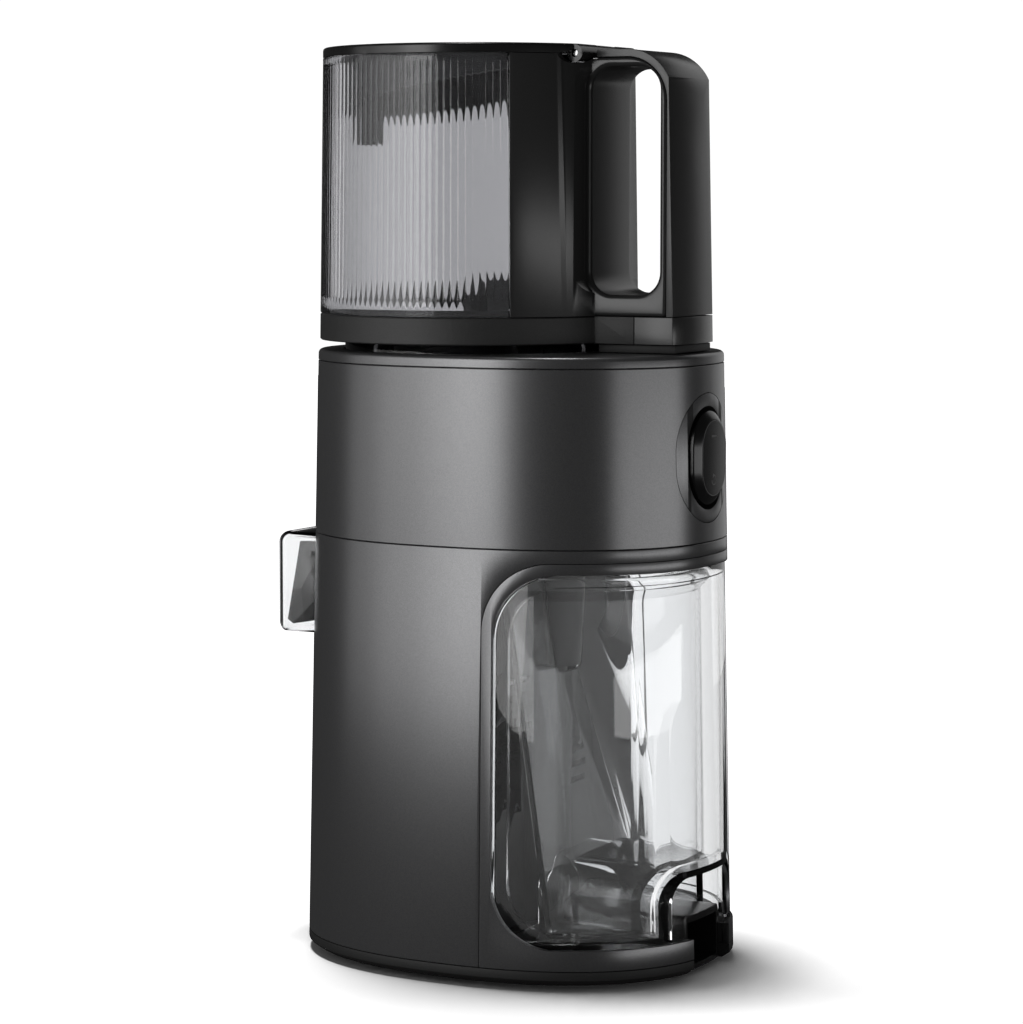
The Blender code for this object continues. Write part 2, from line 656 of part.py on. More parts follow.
def power_inlet():
    recess_front = INLET_REAR - INLET_DEPTH
    half_width = INLET_HALF_WIDTH - INLET_WALL - GAP
    rear = recess_front + GAP + SOCKET_THICKNESS
    block = box("power_inlet", (-half_width, half_width), (recess_front + GAP, rear),
                (INLET_BOTTOM + INLET_FLOOR + GAP, INLET_TOP - INLET_WALL - GAP))
    middle = (INLET_BOTTOM + INLET_TOP) / 2
    for side in (-1, 1):
        add(block, cylinder(f"socket_pin_{side}", SOCKET_PIN_RADIUS, rear - WALL, rear + SOCKET_PIN_LENGTH,
                            (side * half_width / 2, middle), along="Y", sides=16))
    return finish_piece(block, "matte_black")


def switch_rear():
    return oval_point(math.pi / 2, SWITCH_HEIGHT, 0.0)[1]


def switch_bezel():
    depth = POCKET_DEPTH + SWITCH_FLOOR
    bezel = stadium("switch_bezel", SWITCH_HALF_WIDTH, SWITCH_HALF_HEIGHT, (switch_rear() - depth, REACH),
                    SWITCH_HEIGHT)
    keep(bezel, oval_solid("bezel_outline", UPPER_BOTTOM - WALL, UPPER_TOP + WALL))
    cut(bezel, stadium("switch_pocket", POCKET_HALF_WIDTH, POCKET_HALF_HEIGHT,
                       (switch_rear() - POCKET_DEPTH, REACH), SWITCH_HEIGHT))
    return finish_piece(bezel, "matte_black")


def power_rocker():
    front = switch_rear() + ROCKER_PROUD
    rocker = stadium("power_rocker", ROCKER_HALF_WIDTH, ROCKER_HALF_HEIGHT, (front - ROCKER_THICKNESS, front),
                     SWITCH_HEIGHT)
    axis = switch_rear() - POCKET_DEPTH + ROCKER_BOSS_RADIUS + 3 * GAP
    place = (axis, SWITCH_HEIGHT)
    add(rocker, cylinder("rocker_boss", ROCKER_BOSS_RADIUS, -ROCKER_HALF_WIDTH * 0.8, ROCKER_HALF_WIDTH * 0.8,
                         place, along="X", sides=24))
    pin = POCKET_HALF_WIDTH - GAP
    add(rocker, cylinder("rocker_pin", ROCKER_PIN_RADIUS, -pin, pin, place, along="X", sides=16))
    return finish_piece(rocker, "satin_black", pivot("rocker_pivot", (0, *place)))


def juice_spout():
    """The clear hood, open to the body and below."""
    hood = box("juice_spout", (-SPOUT_HALF_WIDTH, SPOUT_HALF_WIDTH), (SPOUT_FRONT, 0), (SPOUT_BOTTOM, SPOUT_TOP),
               radius=SPOUT_ROUND, along="Z", corners="front")
    inside = SPOUT_HALF_WIDTH - SPOUT_WALL
    cut(hood, box("spout_inside", (-inside, inside), (SPOUT_FRONT + SPOUT_WALL, REACH),
                  (-REACH, SPOUT_TOP - SPOUT_WALL), radius=SPOUT_ROUND - SPOUT_WALL, along="Z", corners="front"))
    cut(hood, oval_solid("spout_seat", 0, REACH, -GAP))
    return finish_piece(hood, "clear")


def drip_stop_flap():
    axis_height = SPOUT_TOP - SPOUT_WALL - FLAP_AXIS_DROP
    top = axis_height + FLAP_AXIS_DROP - 0.0025
    rear = SPOUT_FRONT + FLAP_REAR_BACK
    tip = SPOUT_FRONT + FLAP_TIP_BACK
    tip_height = SPOUT_BOTTOM + FLAP_TIP_RISE
    outline = [
        (rear, top), (SPOUT_FRONT + FLAP_TOP_BACK, top), (tip, tip_height), (tip + 0.0030, tip_height - 0.0020),
        (rear, tip_height + 0.0110),
    ]
    bm = bmesh.new()
    corners = [bm.verts.new((-FLAP_HALF_WIDTH, y, z)) for y, z in outline]
    side = bm.faces.new(corners)
    made = bmesh.ops.extrude_face_region(bm, geom=[side])
    moved = [item for item in made["geom"] if isinstance(item, bmesh.types.BMVert)]
    bmesh.ops.translate(bm, verts=moved, vec=(2 * FLAP_HALF_WIDTH, 0, 0))
    flap = from_bmesh("drip_stop_flap", bm)
    place = (SPOUT_FRONT + FLAP_AXIS_BACK, axis_height)
    pin = SPOUT_HALF_WIDTH - SPOUT_WALL - GAP
    add(flap, cylinder("flap_pin", FLAP_PIN_RADIUS, -pin, pin, place, along="X", sides=16))
    return finish_piece(flap, "matte_black", pivot("flap_pivot", (0, *place)))


def control_board():
    board = box("control_board", (-BOARD_HALF_WIDTH, BOARD_HALF_WIDTH), (BOARD_Y, BOARD_Y + BOARD_THICKNESS),
                (DECK_TOP + GAP, DECK_TOP + GAP + BOARD_HEIGHT))
    return finish_piece(board, "board")


# ---------------------------------------------------------------- drive

def motor_can():
    inner = MOTOR_RADIUS - MOTOR_WALL
    bore = SHAFT_RADIUS + GAP
    can = turned("motor_can", [
        (bore, MOTOR_TOP), (MOTOR_RADIUS, MOTOR_TOP), (MOTOR_RADIUS, MOTOR_BOTTOM), (bore, MOTOR_BOTTOM),
        (bore, MOTOR_BOTTOM + MOTOR_WALL), (inner, MOTOR_BOTTOM + MOTOR_WALL),
        (inner, MOTOR_TOP - MOTOR_WALL), (bore, MOTOR_TOP - MOTOR_WALL)], (0, MOTOR_Y))
    return finish_piece(can, "zinc")


def motor_rotor(axis):
    low = MOTOR_BOTTOM + 3 * MOTOR_WALL
    high = MOTOR_TOP - 3 * MOTOR_WALL
    top = WHEEL_BOTTOM + PINION_HEIGHT + GAP
    bottom = MOTOR_BOTTOM - FAN_HEIGHT - 0.0040
    rotor = turned("motor_rotor", [
        (0, top), (SHAFT_RADIUS, top), (SHAFT_RADIUS, high), (ROTOR_RADIUS, high), (ROTOR_RADIUS, low),
        (SHAFT_RADIUS, low), (SHAFT_RADIUS, bottom), (0, bottom)], (0, MOTOR_Y), sides=32)
    return finish_piece(rotor, "steel", axis)


def cooling_fan(axis):
    high = MOTOR_BOTTOM - 0.0020
    low = high - FAN_HEIGHT
    hub = SHAFT_RADIUS * 2.2
    fan = cylinder("cooling_fan", hub, low, high, (0, MOTOR_Y), sides=24)
    for index in range(FAN_BLADES):
        blade = box(f"fan_blade_{index}", (hub * 0.7, FAN_RADIUS), (-0.0008, 0.0008), (low, high))
        blade.rotation_euler.z = math.tau * index / FAN_BLADES
        blade.location = (0, MOTOR_Y, 0)
        add(fan, blade)
    cut(fan, cylinder("fan_bore", SHAFT_RADIUS + GAP, low - WALL, high + WALL, (0, MOTOR_Y), sides=32))
    return finish_piece(fan, "nylon", axis)


def motor_pinion(axis):
    toward = angle_to((0, MOTOR_Y), (WHEEL_X, WHEEL_Y))
    pinion = gear("motor_pinion", PINION_TEETH, WHEEL_BOTTOM, WHEEL_BOTTOM + PINION_HEIGHT, (0, MOTOR_Y),
                  toward, SHAFT_RADIUS + GAP)
    return finish_piece(pinion, "steel", axis)


def compound_gear():
    place = (WHEEL_X, WHEEL_Y)
    to_pinion = angle_to(place, (0, MOTOR_Y))
    to_output = angle_to(place, (0, BOWL_Y))
    top = SMALL_BOTTOM + OUTPUT_HEIGHT
    wheel = gear("compound_gear", WHEEL_TEETH, WHEEL_BOTTOM + GAP, WHEEL_BOTTOM + PINION_HEIGHT - GAP, place,
                 to_pinion + math.pi / WHEEL_TEETH)
    add(wheel, gear("small_gear", SMALL_TEETH, WHEEL_BOTTOM + PINION_HEIGHT / 2, top, place, to_output))
    cut(wheel, cylinder("compound_bore", POST_RADIUS + GAP, WHEEL_BOTTOM - WALL, top + WALL, place, sides=32))
    return finish_piece(wheel, "nylon", pivot("compound_axis", (*place, 0)))


def output_gear(axis):
    to_small = angle_to((0, BOWL_Y), (WHEEL_X, WHEEL_Y))
    low = SMALL_BOTTOM + 0.0005
    wheel = gear("output_gear", OUTPUT_TEETH, low, SMALL_BOTTOM + OUTPUT_HEIGHT - 0.0005, (0, BOWL_Y),
                 to_small + math.pi / OUTPUT_TEETH, DRIVE_RADIUS + GAP)
    return finish_piece(wheel, "steel", axis)


def drive_shaft(axis):
    top = AUGER_BOTTOM + DRIVE_INTO_AUGER
    shaft = turned("drive_shaft", [
        (0, top), (DRIVE_RADIUS * 0.8, top), (DRIVE_RADIUS, top - DRIVE_RADIUS * 0.3),
        (DRIVE_RADIUS, SMALL_BOTTOM), (0, SMALL_BOTTOM)], (0, BOWL_Y), sides=32)
    return finish_piece(shaft, "steel", axis)


def gearbox_limits():
    """The gearbox's inside, round both large gears."""
    wheel_tip = GEAR_MODULE * WHEEL_TEETH / 2 + TOOTH_HEIGHT + GEARBOX_ROOM
    output_tip = GEAR_MODULE * OUTPUT_TEETH / 2 + TOOTH_HEIGHT + GEARBOX_ROOM
    x = (-output_tip, WHEEL_X + wheel_tip)
    y = (min(WHEEL_Y - wheel_tip, BOWL_Y - output_tip), BAY_WALL_Y - GAP - GEARBOX_WALL)
    return x, y


def gearbox_housing():
    x, y = gearbox_limits()
    outer = GEARBOX_WALL
    high = GEARBOX_TOP - GEARBOX_WALL - GAP
    case = box("gearbox_housing", (x[0] - outer, x[1] + outer), (y[0] - outer, y[1] + outer), (GEARBOX_BOTTOM, high),
               radius=outer * 2, along="Z", corners="front")
    cut(case, box("gearbox_inside", x, y, (GEAR_FLOOR, REACH * 2)))
    cut(case, cylinder("rotor_way", SHAFT_RADIUS + 2 * GAP, GEARBOX_BOTTOM - WALL, GEAR_FLOOR + WALL, (0, MOTOR_Y)))
    add(case, cylinder("gear_post", POST_RADIUS, GEARBOX_BOTTOM + GEARBOX_WALL / 2, high - GEARBOX_WALL,
                       (WHEEL_X, WHEEL_Y), sides=24))
    return finish_piece(case, "matte_black")


def gearbox_lid():
    x, y = gearbox_limits()
    outer = GEARBOX_WALL
    lid = box("gearbox_lid", (x[0] - outer, x[1] + outer), (y[0] - outer, y[1] + outer),
              (GEARBOX_TOP - GEARBOX_WALL, GEARBOX_TOP), radius=outer * 2, along="Z", corners="front")
    cut(lid, cylinder("lid_shaft_hole", DRIVE_RADIUS + GAP, 0, REACH, (0, BOWL_Y), sides=32))
    return finish_piece(lid, "zinc")


# ---------------------------------------------------------------- juicing chamber

def juicing_bowl():
    bowl = cylinder("juicing_bowl", BOWL_RADIUS, BOWL_BOTTOM, BOWL_TOP, (0, BOWL_Y), sides=BOWL_SIDES)
    duct = box("juice_duct", (-DUCT_HALF_WIDTH, DUCT_HALF_WIDTH), (DUCT_FRONT, DUCT_REAR),
               (DUCT_BOTTOM, BOWL_INSIDE - GAP))
    add(bowl, duct)
    cut(bowl, cylinder("bowl_inside", BOWL_RADIUS - BOWL_WALL, BOWL_INSIDE, REACH * 2, (0, BOWL_Y), sides=BOWL_SIDES))
    inside = DUCT_HALF_WIDTH - DUCT_WALL
    cut(bowl, box("duct_inside", (-inside, inside), (-REACH, DUCT_REAR - DUCT_WALL),
                  (DUCT_BOTTOM + DUCT_WALL, BOWL_BOTTOM - DUCT_WALL / 2)))
    cut(bowl, box("juice_outlet", (-inside, inside), (DUCT_FRONT + 0.0060, DUCT_REAR - DUCT_WALL),
                  (BOWL_BOTTOM - DUCT_WALL, BOWL_INSIDE + DUCT_WALL)))
    cut(bowl, cylinder("bowl_shaft_hole", DRIVE_RADIUS + GAP, DUCT_BOTTOM, BOWL_INSIDE + WALL, (0, BOWL_Y), sides=32))
    pulp_radius = CHUTE_TOP_RADIUS - CHUTE_WALL
    cut(bowl, cylinder("pulp_outlet", pulp_radius - 0.0015, BOWL_BOTTOM - WALL, BOWL_INSIDE + WALL,
                       (CHUTE_X, CHUTE_Y), sides=32))
    return finish_piece(bowl, "smoke")


def pulp_chute():
    top = BOWL_BOTTOM - GAP
    chute = turned("pulp_chute", [
        (CHUTE_TOP_RADIUS - CHUTE_WALL, top), (CHUTE_TOP_RADIUS, top), (CHUTE_BOTTOM_RADIUS, CHUTE_BOTTOM),
        (CHUTE_BOTTOM_RADIUS - CHUTE_WALL, CHUTE_BOTTOM)], (CHUTE_X, CHUTE_Y), sides=32)
    return finish_piece(chute, "matte_black")


def bowl_seal():
    inner = DRIVE_RADIUS + 2 * GAP
    low = BOWL_INSIDE + GAP
    high = AUGER_BOTTOM - GAP
    seal = turned("bowl_seal", [(inner, high), (inner + SEAL_WIDTH, high), (inner + SEAL_WIDTH, low), (inner, low)],
                  (0, BOWL_Y), sides=32)
    return finish_piece(seal, "rubber")


def strainer():
    """The slotted basket round the auger."""
    low = BOWL_INSIDE + GAP
    high = low + STRAINER_HEIGHT
    inner = STRAINER_RADIUS - STRAINER_WALL
    opening = DRIVE_RADIUS + 3 * GAP + SEAL_WIDTH
    basket = turned("strainer", [
        (inner, high), (STRAINER_RADIUS, high), (STRAINER_RADIUS, low), (opening, low),
        (opening, low + STRAINER_FLOOR), (inner, low + STRAINER_FLOOR)], (0, BOWL_Y), sides=48)
    for index in range(STRAINER_SLOTS):
        slot = box(f"strainer_slot_{index}", (inner - WALL, STRAINER_RADIUS + WALL),
                   (-STRAINER_SLOT_WIDTH / 2, STRAINER_SLOT_WIDTH / 2), (low + 4 * WALL, high - 4 * WALL))
        slot.rotation_euler.z = math.tau * (index + 0.5) / STRAINER_SLOTS
        slot.location = (0, BOWL_Y, 0)
        cut(basket, slot)
    return finish_piece(basket, "steel")


def auger(axis):
    """A tapered core with one helical flight, hollow below for the drive shaft."""
    core = turned("auger", [
        (0, AUGER_TOP), (AUGER_NECK_RADIUS, AUGER_TOP), (AUGER_CORE_RADIUS, AUGER_BOTTOM + 0.0200),
        (AUGER_CORE_RADIUS, AUGER_BOTTOM), (0, AUGER_BOTTOM)], (0, BOWL_Y), sides=36)
    steps = 40
    rise = (AUGER_TOP - AUGER_BOTTOM - FLIGHT_THICKNESS * 3) / steps
    start = AUGER_BOTTOM + FLIGHT_THICKNESS * 0.5
    bm = bmesh.new()
    corners = [
        bm.verts.new((AUGER_NECK_RADIUS * 0.8, 0, start)), bm.verts.new((AUGER_RADIUS, 0, start + 0.0012)),
        bm.verts.new((AUGER_RADIUS, 0, start + FLIGHT_THICKNESS * 0.6)),
        bm.verts.new((AUGER_NECK_RADIUS * 0.8, 0, start + FLIGHT_THICKNESS)),
    ]
    section = bm.faces.new(corners)
    bmesh.ops.spin(bm, geom=[section, *section.edges, *section.verts], cent=(0, 0, 0), axis=(0, 0, 1),
                   dvec=(0, 0, rise), angle=-math.tau * AUGER_TURNS, steps=steps, use_duplicate=False)
    open_edges = [edge for edge in bm.edges if edge.is_boundary]
    if open_edges:
        bmesh.ops.holes_fill(bm, edges=open_edges)
    flight = from_bmesh("auger_flight", bm)
    flight.location = (0, BOWL_Y, 0)
    add(core, flight)
    cut(core, cylinder("auger_socket", DRIVE_RADIUS + GAP, 0, AUGER_BOTTOM + DRIVE_INTO_AUGER + GAP, (0, BOWL_Y),
                       sides=32))
    return finish_piece(core, "matte_black", axis)


def cutting_wing(axis):
    low = AUGER_TOP + GAP
    wing = cylinder("cutting_wing", AUGER_NECK_RADIUS * 0.9, low, low + WING_HEIGHT * 0.6, (0, BOWL_Y),
                    top_radius=AUGER_NECK_RADIUS * 0.5, sides=32)
    blade = box("wing_blade", (0, WING_LENGTH), (-WING_THICKNESS / 2, WING_THICKNESS / 2), (low, low + WING_HEIGHT),
                radius=WING_HEIGHT * 0.4, along="Y", corners="top")
    blade.rotation_euler.z = math.radians(70)
    blade.location = (0, BOWL_Y, 0)
    add(wing, blade)
    return finish_piece(wing, "matte_black", axis)


# ---------------------------------------------------------------- hopper

def hopper_radius(height):
    return HOPPER_RADIUS - HOPPER_TAPER * (height - FLANGE_BOTTOM)


def hopper_round(name, low, high, inset=0.0):
    """The hopper's tapered circle."""
    return cylinder(name, hopper_radius(low) - inset, low, high, (0, BOWL_Y), top_radius=hopper_radius(high) - inset,
                    sides=LARGE_SIDES)


def handle_rear(height):
    return oval_point(math.pi / 2, height, SPINE_INSET)[1]


def spine(name, low, high, front=BOWL_Y, rear_corner=0.0):
    """The handle's block: as wide as the handle, ending on the body's oval."""
    block = box(name, (-SPINE_HALF_WIDTH, SPINE_HALF_WIDTH), (front, REACH), (low, high))
    outline = oval_solid(name + "_outline", low - WALL, high + WALL, SPINE_INSET)
    keep(block, outline)
    if rear_corner:
        keep(block, box(name + "_corner", (-REACH, REACH), (-REACH, handle_rear(high)), (low - REACH, high),
                        radius=rear_corner, along="X", corners="top_rear"))
    return block


def bowl_flange():
    flange = hopper_round("bowl_flange", FLANGE_BOTTOM, FLANGE_TOP)
    add(flange, spine("flange_spine", FLANGE_BOTTOM, FLANGE_TOP))
    cut(flange, box("flange_split", (-REACH, REACH), (FLANGE_SPLIT_Y, REACH), (0, REACH * 2)))
    cut(flange, cylinder("flange_hole", BOWL_RADIUS - BOWL_WALL, 0, REACH * 2, (0, BOWL_Y), sides=BOWL_SIDES))
    return finish_piece(flange, "matte_black")


def flange_rear_block():
    block = spine("flange_rear_block", FLANGE_BOTTOM, FLANGE_TOP, front=FLANGE_SPLIT_Y + GAP)
    return finish_piece(block, "satin_black")


def lock_ledge():
    """The latch block under the flange, which drops onto the base's top."""
    rear = handle_rear(FLANGE_BOTTOM) - WALL
    ledge = box("lock_ledge", (-LEDGE_HALF_WIDTH, LEDGE_HALF_WIDTH), (LEDGE_FRONT, rear),
                (RING_TOP + GAP, FLANGE_BOTTOM - GAP))
    return finish_piece(ledge, "matte_black")


def window_wedge(name, gap):
    """The sector at the rear that the black shell covers; gap narrows it."""
    angle = math.radians(WINDOW_REAR_ANGLE)
    bm = bmesh.new()
    tip = Vector((0, BOWL_Y + gap, 0))
    points = [tip, tip + Vector((math.sin(angle), math.cos(angle), 0)) * REACH,
              Vector((0, REACH * 2, 0)), tip + Vector((-math.sin(angle), math.cos(angle), 0)) * REACH]
    face = bm.faces.new([bm.verts.new(point) for point in points])
    made = bmesh.ops.extrude_face_region(bm, geom=[face])
    moved = [item for item in made["geom"] if isinstance(item, bmesh.types.BMVert)]
    bmesh.ops.translate(bm, verts=moved, vec=(0, 0, REACH * 2))
    return from_bmesh(name, bm)


def hopper_window():
    window = hopper_round("hopper_window", HOPPER_BOTTOM, HOPPER_TOP)
    cut(window, hopper_round("window_inside", HOPPER_BOTTOM - WALL, HOPPER_TOP + WALL, HOPPER_WALL))
    cut(window, window_wedge("window_end", 0.0))
    return finish_piece(window, "smoke")


def hopper_shell():
    """The black rear of the hopper with its handle in one piece."""
    shell = hopper_round("hopper_shell", HOPPER_BOTTOM, HOPPER_TOP)
    add(shell, spine("shell_spine", HOPPER_BOTTOM, HANDLE_TOP, front=HINGE_Y, rear_corner=HANDLE_CORNER))
    cavity = hopper_round("shell_inside", HOPPER_BOTTOM - WALL, HOPPER_TOP + WALL, HOPPER_WALL)
    keep(cavity, box("cavity_front", (-REACH, REACH), (-REACH, HOLE_FRONT - PARTITION), (0, REACH * 2)))
    cut(shell, cavity)
    keep(shell, window_wedge("shell_sector", GAP / math.sin(math.radians(WINDOW_REAR_ANGLE))))
    cut(shell, box("handle_hole", (-REACH, REACH), (HOLE_FRONT, HOLE_REAR), (HOLE_BOTTOM, HOLE_TOP),
                   radius=HOLE_CORNER, along="X"))
    swing = HINGE_Y + LID_HEIGHT + LID_SWING_ROOM
    cut(shell, box("lid_room", (-REACH, REACH), (0, swing), (HOPPER_TOP, REACH * 2)))
    cut(shell, cylinder("barrel_room", BARREL_RADIUS + 2 * GAP, -REACH, REACH, (HINGE_Y, HINGE_HEIGHT), along="X",
                        sides=32))
    keep(shell, under_cover("cover_seat", GAP))
    return finish_piece(shell, "satin_black")


def under_cover(name, gap):
    """All that lies inside the strip over the handle's rear and top."""
    depth = HANDLE_COVER_THICKNESS + gap
    return box(name, (-REACH, REACH), (-REACH, handle_rear(HANDLE_TOP) - depth), (-REACH, HANDLE_TOP - depth),
               radius=HANDLE_CORNER - depth, along="X", corners="top_rear")


def handle_cover():
    """The strip that closes the handle's rear and top."""
    cover = spine("handle_cover", HOPPER_BOTTOM, HANDLE_TOP, front=HINGE_Y + LID_HEIGHT + LID_SWING_ROOM,
                  rear_corner=HANDLE_CORNER)
    cut(cover, under_cover("cover_inner_side", 0.0))
    return finish_piece(cover, "satin_black")


def hopper_floor():
    floor = cylinder("hopper_floor", hopper_radius(HOPPER_BOTTOM) - HOPPER_WALL - 2 * GAP, HOPPER_BOTTOM,
                     HOPPER_BOTTOM + HOPPER_FLOOR, (0, BOWL_Y), sides=BOWL_SIDES)
    keep(floor, box("floor_front", (-REACH, REACH), (-REACH, HOLE_FRONT - PARTITION - GAP), (0, REACH * 2)))
    cut(floor, cylinder("hopper_mouth", HOPPER_MOUTH_RADIUS, 0, REACH * 2, (0, BOWL_Y)))
    return finish_piece(floor, "matte_black")


def lid(axis):
    """The round lid, with a barrel along its hinge."""
    rim = hopper_radius(LID_BOTTOM)
    plate = turned("lid", [
        (0, LID_TOP), (rim - LID_ROUND, LID_TOP), (rim - LID_ROUND * 0.3, LID_TOP - LID_ROUND * 0.3),
        (rim, LID_TOP - LID_ROUND), (rim, LID_BOTTOM), (0, LID_BOTTOM)], (0, BOWL_Y), sides=LARGE_SIDES)
    keep(plate, box("lid_front", (-REACH, REACH), (-REACH, HINGE_Y), (0, REACH * 2)))
    half = math.sqrt(rim ** 2 - (HINGE_Y - BOWL_Y) ** 2)
    cut(plate, box("lid_relief", (-REACH, REACH), (LID_REAR, REACH), (0, LID_BOTTOM + GAP)))
    add(plate, cylinder("hinge_barrel", BARREL_RADIUS, -half, half, (HINGE_Y, HINGE_HEIGHT), along="X", sides=32))
    cut(plate, cylinder("pin_bore", HINGE_PIN_RADIUS + GAP, -REACH, REACH, (HINGE_Y, HINGE_HEIGHT), along="X",
                        sides=24))
    return finish_piece(plate, "satin_black", axis)


def lid_hinge_pin():
    half = math.sqrt(hopper_radius(LID_BOTTOM) ** 2 - (HINGE_Y - BOWL_Y) ** 2) - 0.001
    pin = cylinder("lid_hinge_pin", HINGE_PIN_RADIUS, -half, half, (HINGE_Y, HINGE_HEIGHT), along="X", sides=16)
    return finish_piece(pin, "steel")


def lid_skirt(axis):
    """The collar inside the hopper's mouth, deepest at the front, with a tab hanging from it."""
    top = LID_BOTTOM - GAP
    bottom = top - SKIRT_DEPTH
    inner = SKIRT_RADIUS - SKIRT_WALL
    collar = turned("lid_skirt", [
        (inner, top), (SKIRT_RADIUS, top), (SKIRT_RADIUS, bottom), (inner, bottom)], (0, BOWL_Y), sides=BOWL_SIDES)
    front = BOWL_Y - SKIRT_RADIUS
    rear = HINGE_Y - BARREL_RADIUS - 0.0030
    slope = math.atan2(SKIRT_DEPTH - SKIRT_SHALLOW, rear - front)
    trim = box("skirt_trim", (-REACH, REACH), (-WALL, REACH), (-REACH, 0))
    trim.rotation_euler.x = slope
    trim.location = (0, front, bottom)
    cut(collar, trim)
    cut(collar, box("skirt_rear", (-REACH, REACH), (rear, REACH), (0, REACH * 2)))
    tab = box("skirt_tab", (inner - SKIRT_WALL * 0.8, SKIRT_RADIUS - SKIRT_WALL * 0.4), (-TAB_WIDTH / 2, TAB_WIDTH / 2),
              (top - TAB_DEPTH, top), radius=0.004, along="X")
    tab.rotation_euler.z = math.radians(TAB_ANGLE)
    tab.location = (0, BOWL_Y, 0)
    add(collar, tab)
    return finish_piece(collar, "matte_black", axis)


# ---------------------------------------------------------------- pulp container

def container_cover():
    """The clear drawer: rear wall flush with the body, floor, and a tunnel for the fingers."""
    cover = oval_solid("container_cover", COVER_BOTTOM, COVER_TOP, COVER_INSET)
    keep(cover, box("cover_outline", (-REACH, REACH), (COVER_FRONT, REACH), (0, COVER_TOP),
                    radius=COVER_CORNER, along="X", corners="top_front"))
    cavity = oval_solid("cover_inside", COVER_BOTTOM + COVER_WALL, COVER_TOP + WALL, COVER_INSET + COVER_WALL)
    cut(cavity, tunnel("tunnel_roof", COVER_WALL))
    cut(cover, cavity)
    cut(cover, tunnel("finger_gap", 0.0))
    cut(cover, cylinder("cover_column_room", COLUMN_RADIUS + 3 * GAP, 0, CHUTE_BOTTOM, (0, MOTOR_Y)))
    return finish_piece(cover, "clear")


def tunnel(name, grow):
    half = TUNNEL_HALF_WIDTH + grow
    return box(name, (-half, half), (-REACH, REACH), (0, TUNNEL_TOP + grow), radius=TUNNEL_CORNER + grow, along="Y",
               corners="top")


def cup_form(name, inset, floor, top):
    """The cup's tapered body with its flared rim and slanting front, as a solid."""
    rim = CUP_TOP - CUP_RIM_HEIGHT
    form = oval_stack(name, [(floor, inset), (rim, inset), (rim + CUP_RIM_HEIGHT / 2, inset - CUP_RIM_FLARE),
                             (top, inset - CUP_RIM_FLARE)])
    front = box(name + "_front", (-REACH, REACH), (0, REACH), (-REACH, REACH))
    front.rotation_euler.x = math.atan(CUP_SLANT)
    front.location = (0, CUP_FRONT_TOP + inset - CUP_INSET, CUP_TOP)
    return keep(form, front)


def pulp_cup():
    floor = COVER_BOTTOM + COVER_WALL + GAP
    cup = cup_form("pulp_cup", CUP_INSET, floor, CUP_TOP)
    cavity = cup_form("cup_inside", CUP_INSET + CUP_WALL, floor + CUP_WALL, CUP_TOP + WALL)
    cut(cavity, tunnel("cup_tunnel_roof", COVER_WALL + GAP + CUP_WALL))
    cut(cup, cavity)
    cut(cup, tunnel("cup_tunnel", COVER_WALL + GAP))
    half = CHUTE_TOP_RADIUS + CUP_CLEARANCE
    cut(cup, box("chute_way", (CHUTE_X - half, CHUTE_X + half), (-REACH, CHUTE_Y + half),
                 (CHUTE_BOTTOM - 3 * CUP_CLEARANCE, REACH), radius=half * 0.5, along="Y", corners="all"))
    return finish_piece(cup, "clear")


def centre_on_origin():
    """Stand the origin under the middle of the whole."""
    graph = bpy.context.evaluated_depsgraph_get()
    along = []
    for piece in JUICER.objects:
        if piece.type == "MESH":
            along += [(piece.matrix_world @ Vector(corner)).y for corner in piece.evaluated_get(graph).bound_box]
    ROOT.location.y = -(min(along) + max(along)) / 2


def build():
    feet()
    bottom_plate()
    base_screws()
    lower_housing()
    window_frame()
    bay_floor()
    bay_wall()
    chamber_deck()
    upper_housing()
    top_ring()
    inlet_housing()
    power_inlet()
    switch_bezel()
    power_rocker()
    juice_spout()
    drip_stop_flap()
    control_board()
    rotor_axis = pivot("rotor_axis", (0, MOTOR_Y, 0))
    motor_can()
    motor_rotor(rotor_axis)
    cooling_fan(rotor_axis)
    motor_pinion(rotor_axis)
    compound_gear()
    drive_axis = pivot("drive_axis", (0, BOWL_Y, 0))
    output_gear(drive_axis)
    drive_shaft(drive_axis)
    gearbox_housing()
    gearbox_lid()
    juicing_bowl()
    pulp_chute()
    bowl_seal()
    strainer()
    auger(drive_axis)
    cutting_wing(drive_axis)
    bowl_flange()
    flange_rear_block()
    lock_ledge()
    hopper_window()
    hopper_shell()
    handle_cover()
    hopper_floor()
    lid_axis = pivot("lid_axis", (0, HINGE_Y, HINGE_HEIGHT))
    lid(lid_axis)
    lid_hinge_pin()
    lid_skirt(lid_axis)
    container_cover()
    pulp_cup()
    centre_on_origin()


build()
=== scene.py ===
import json
import math

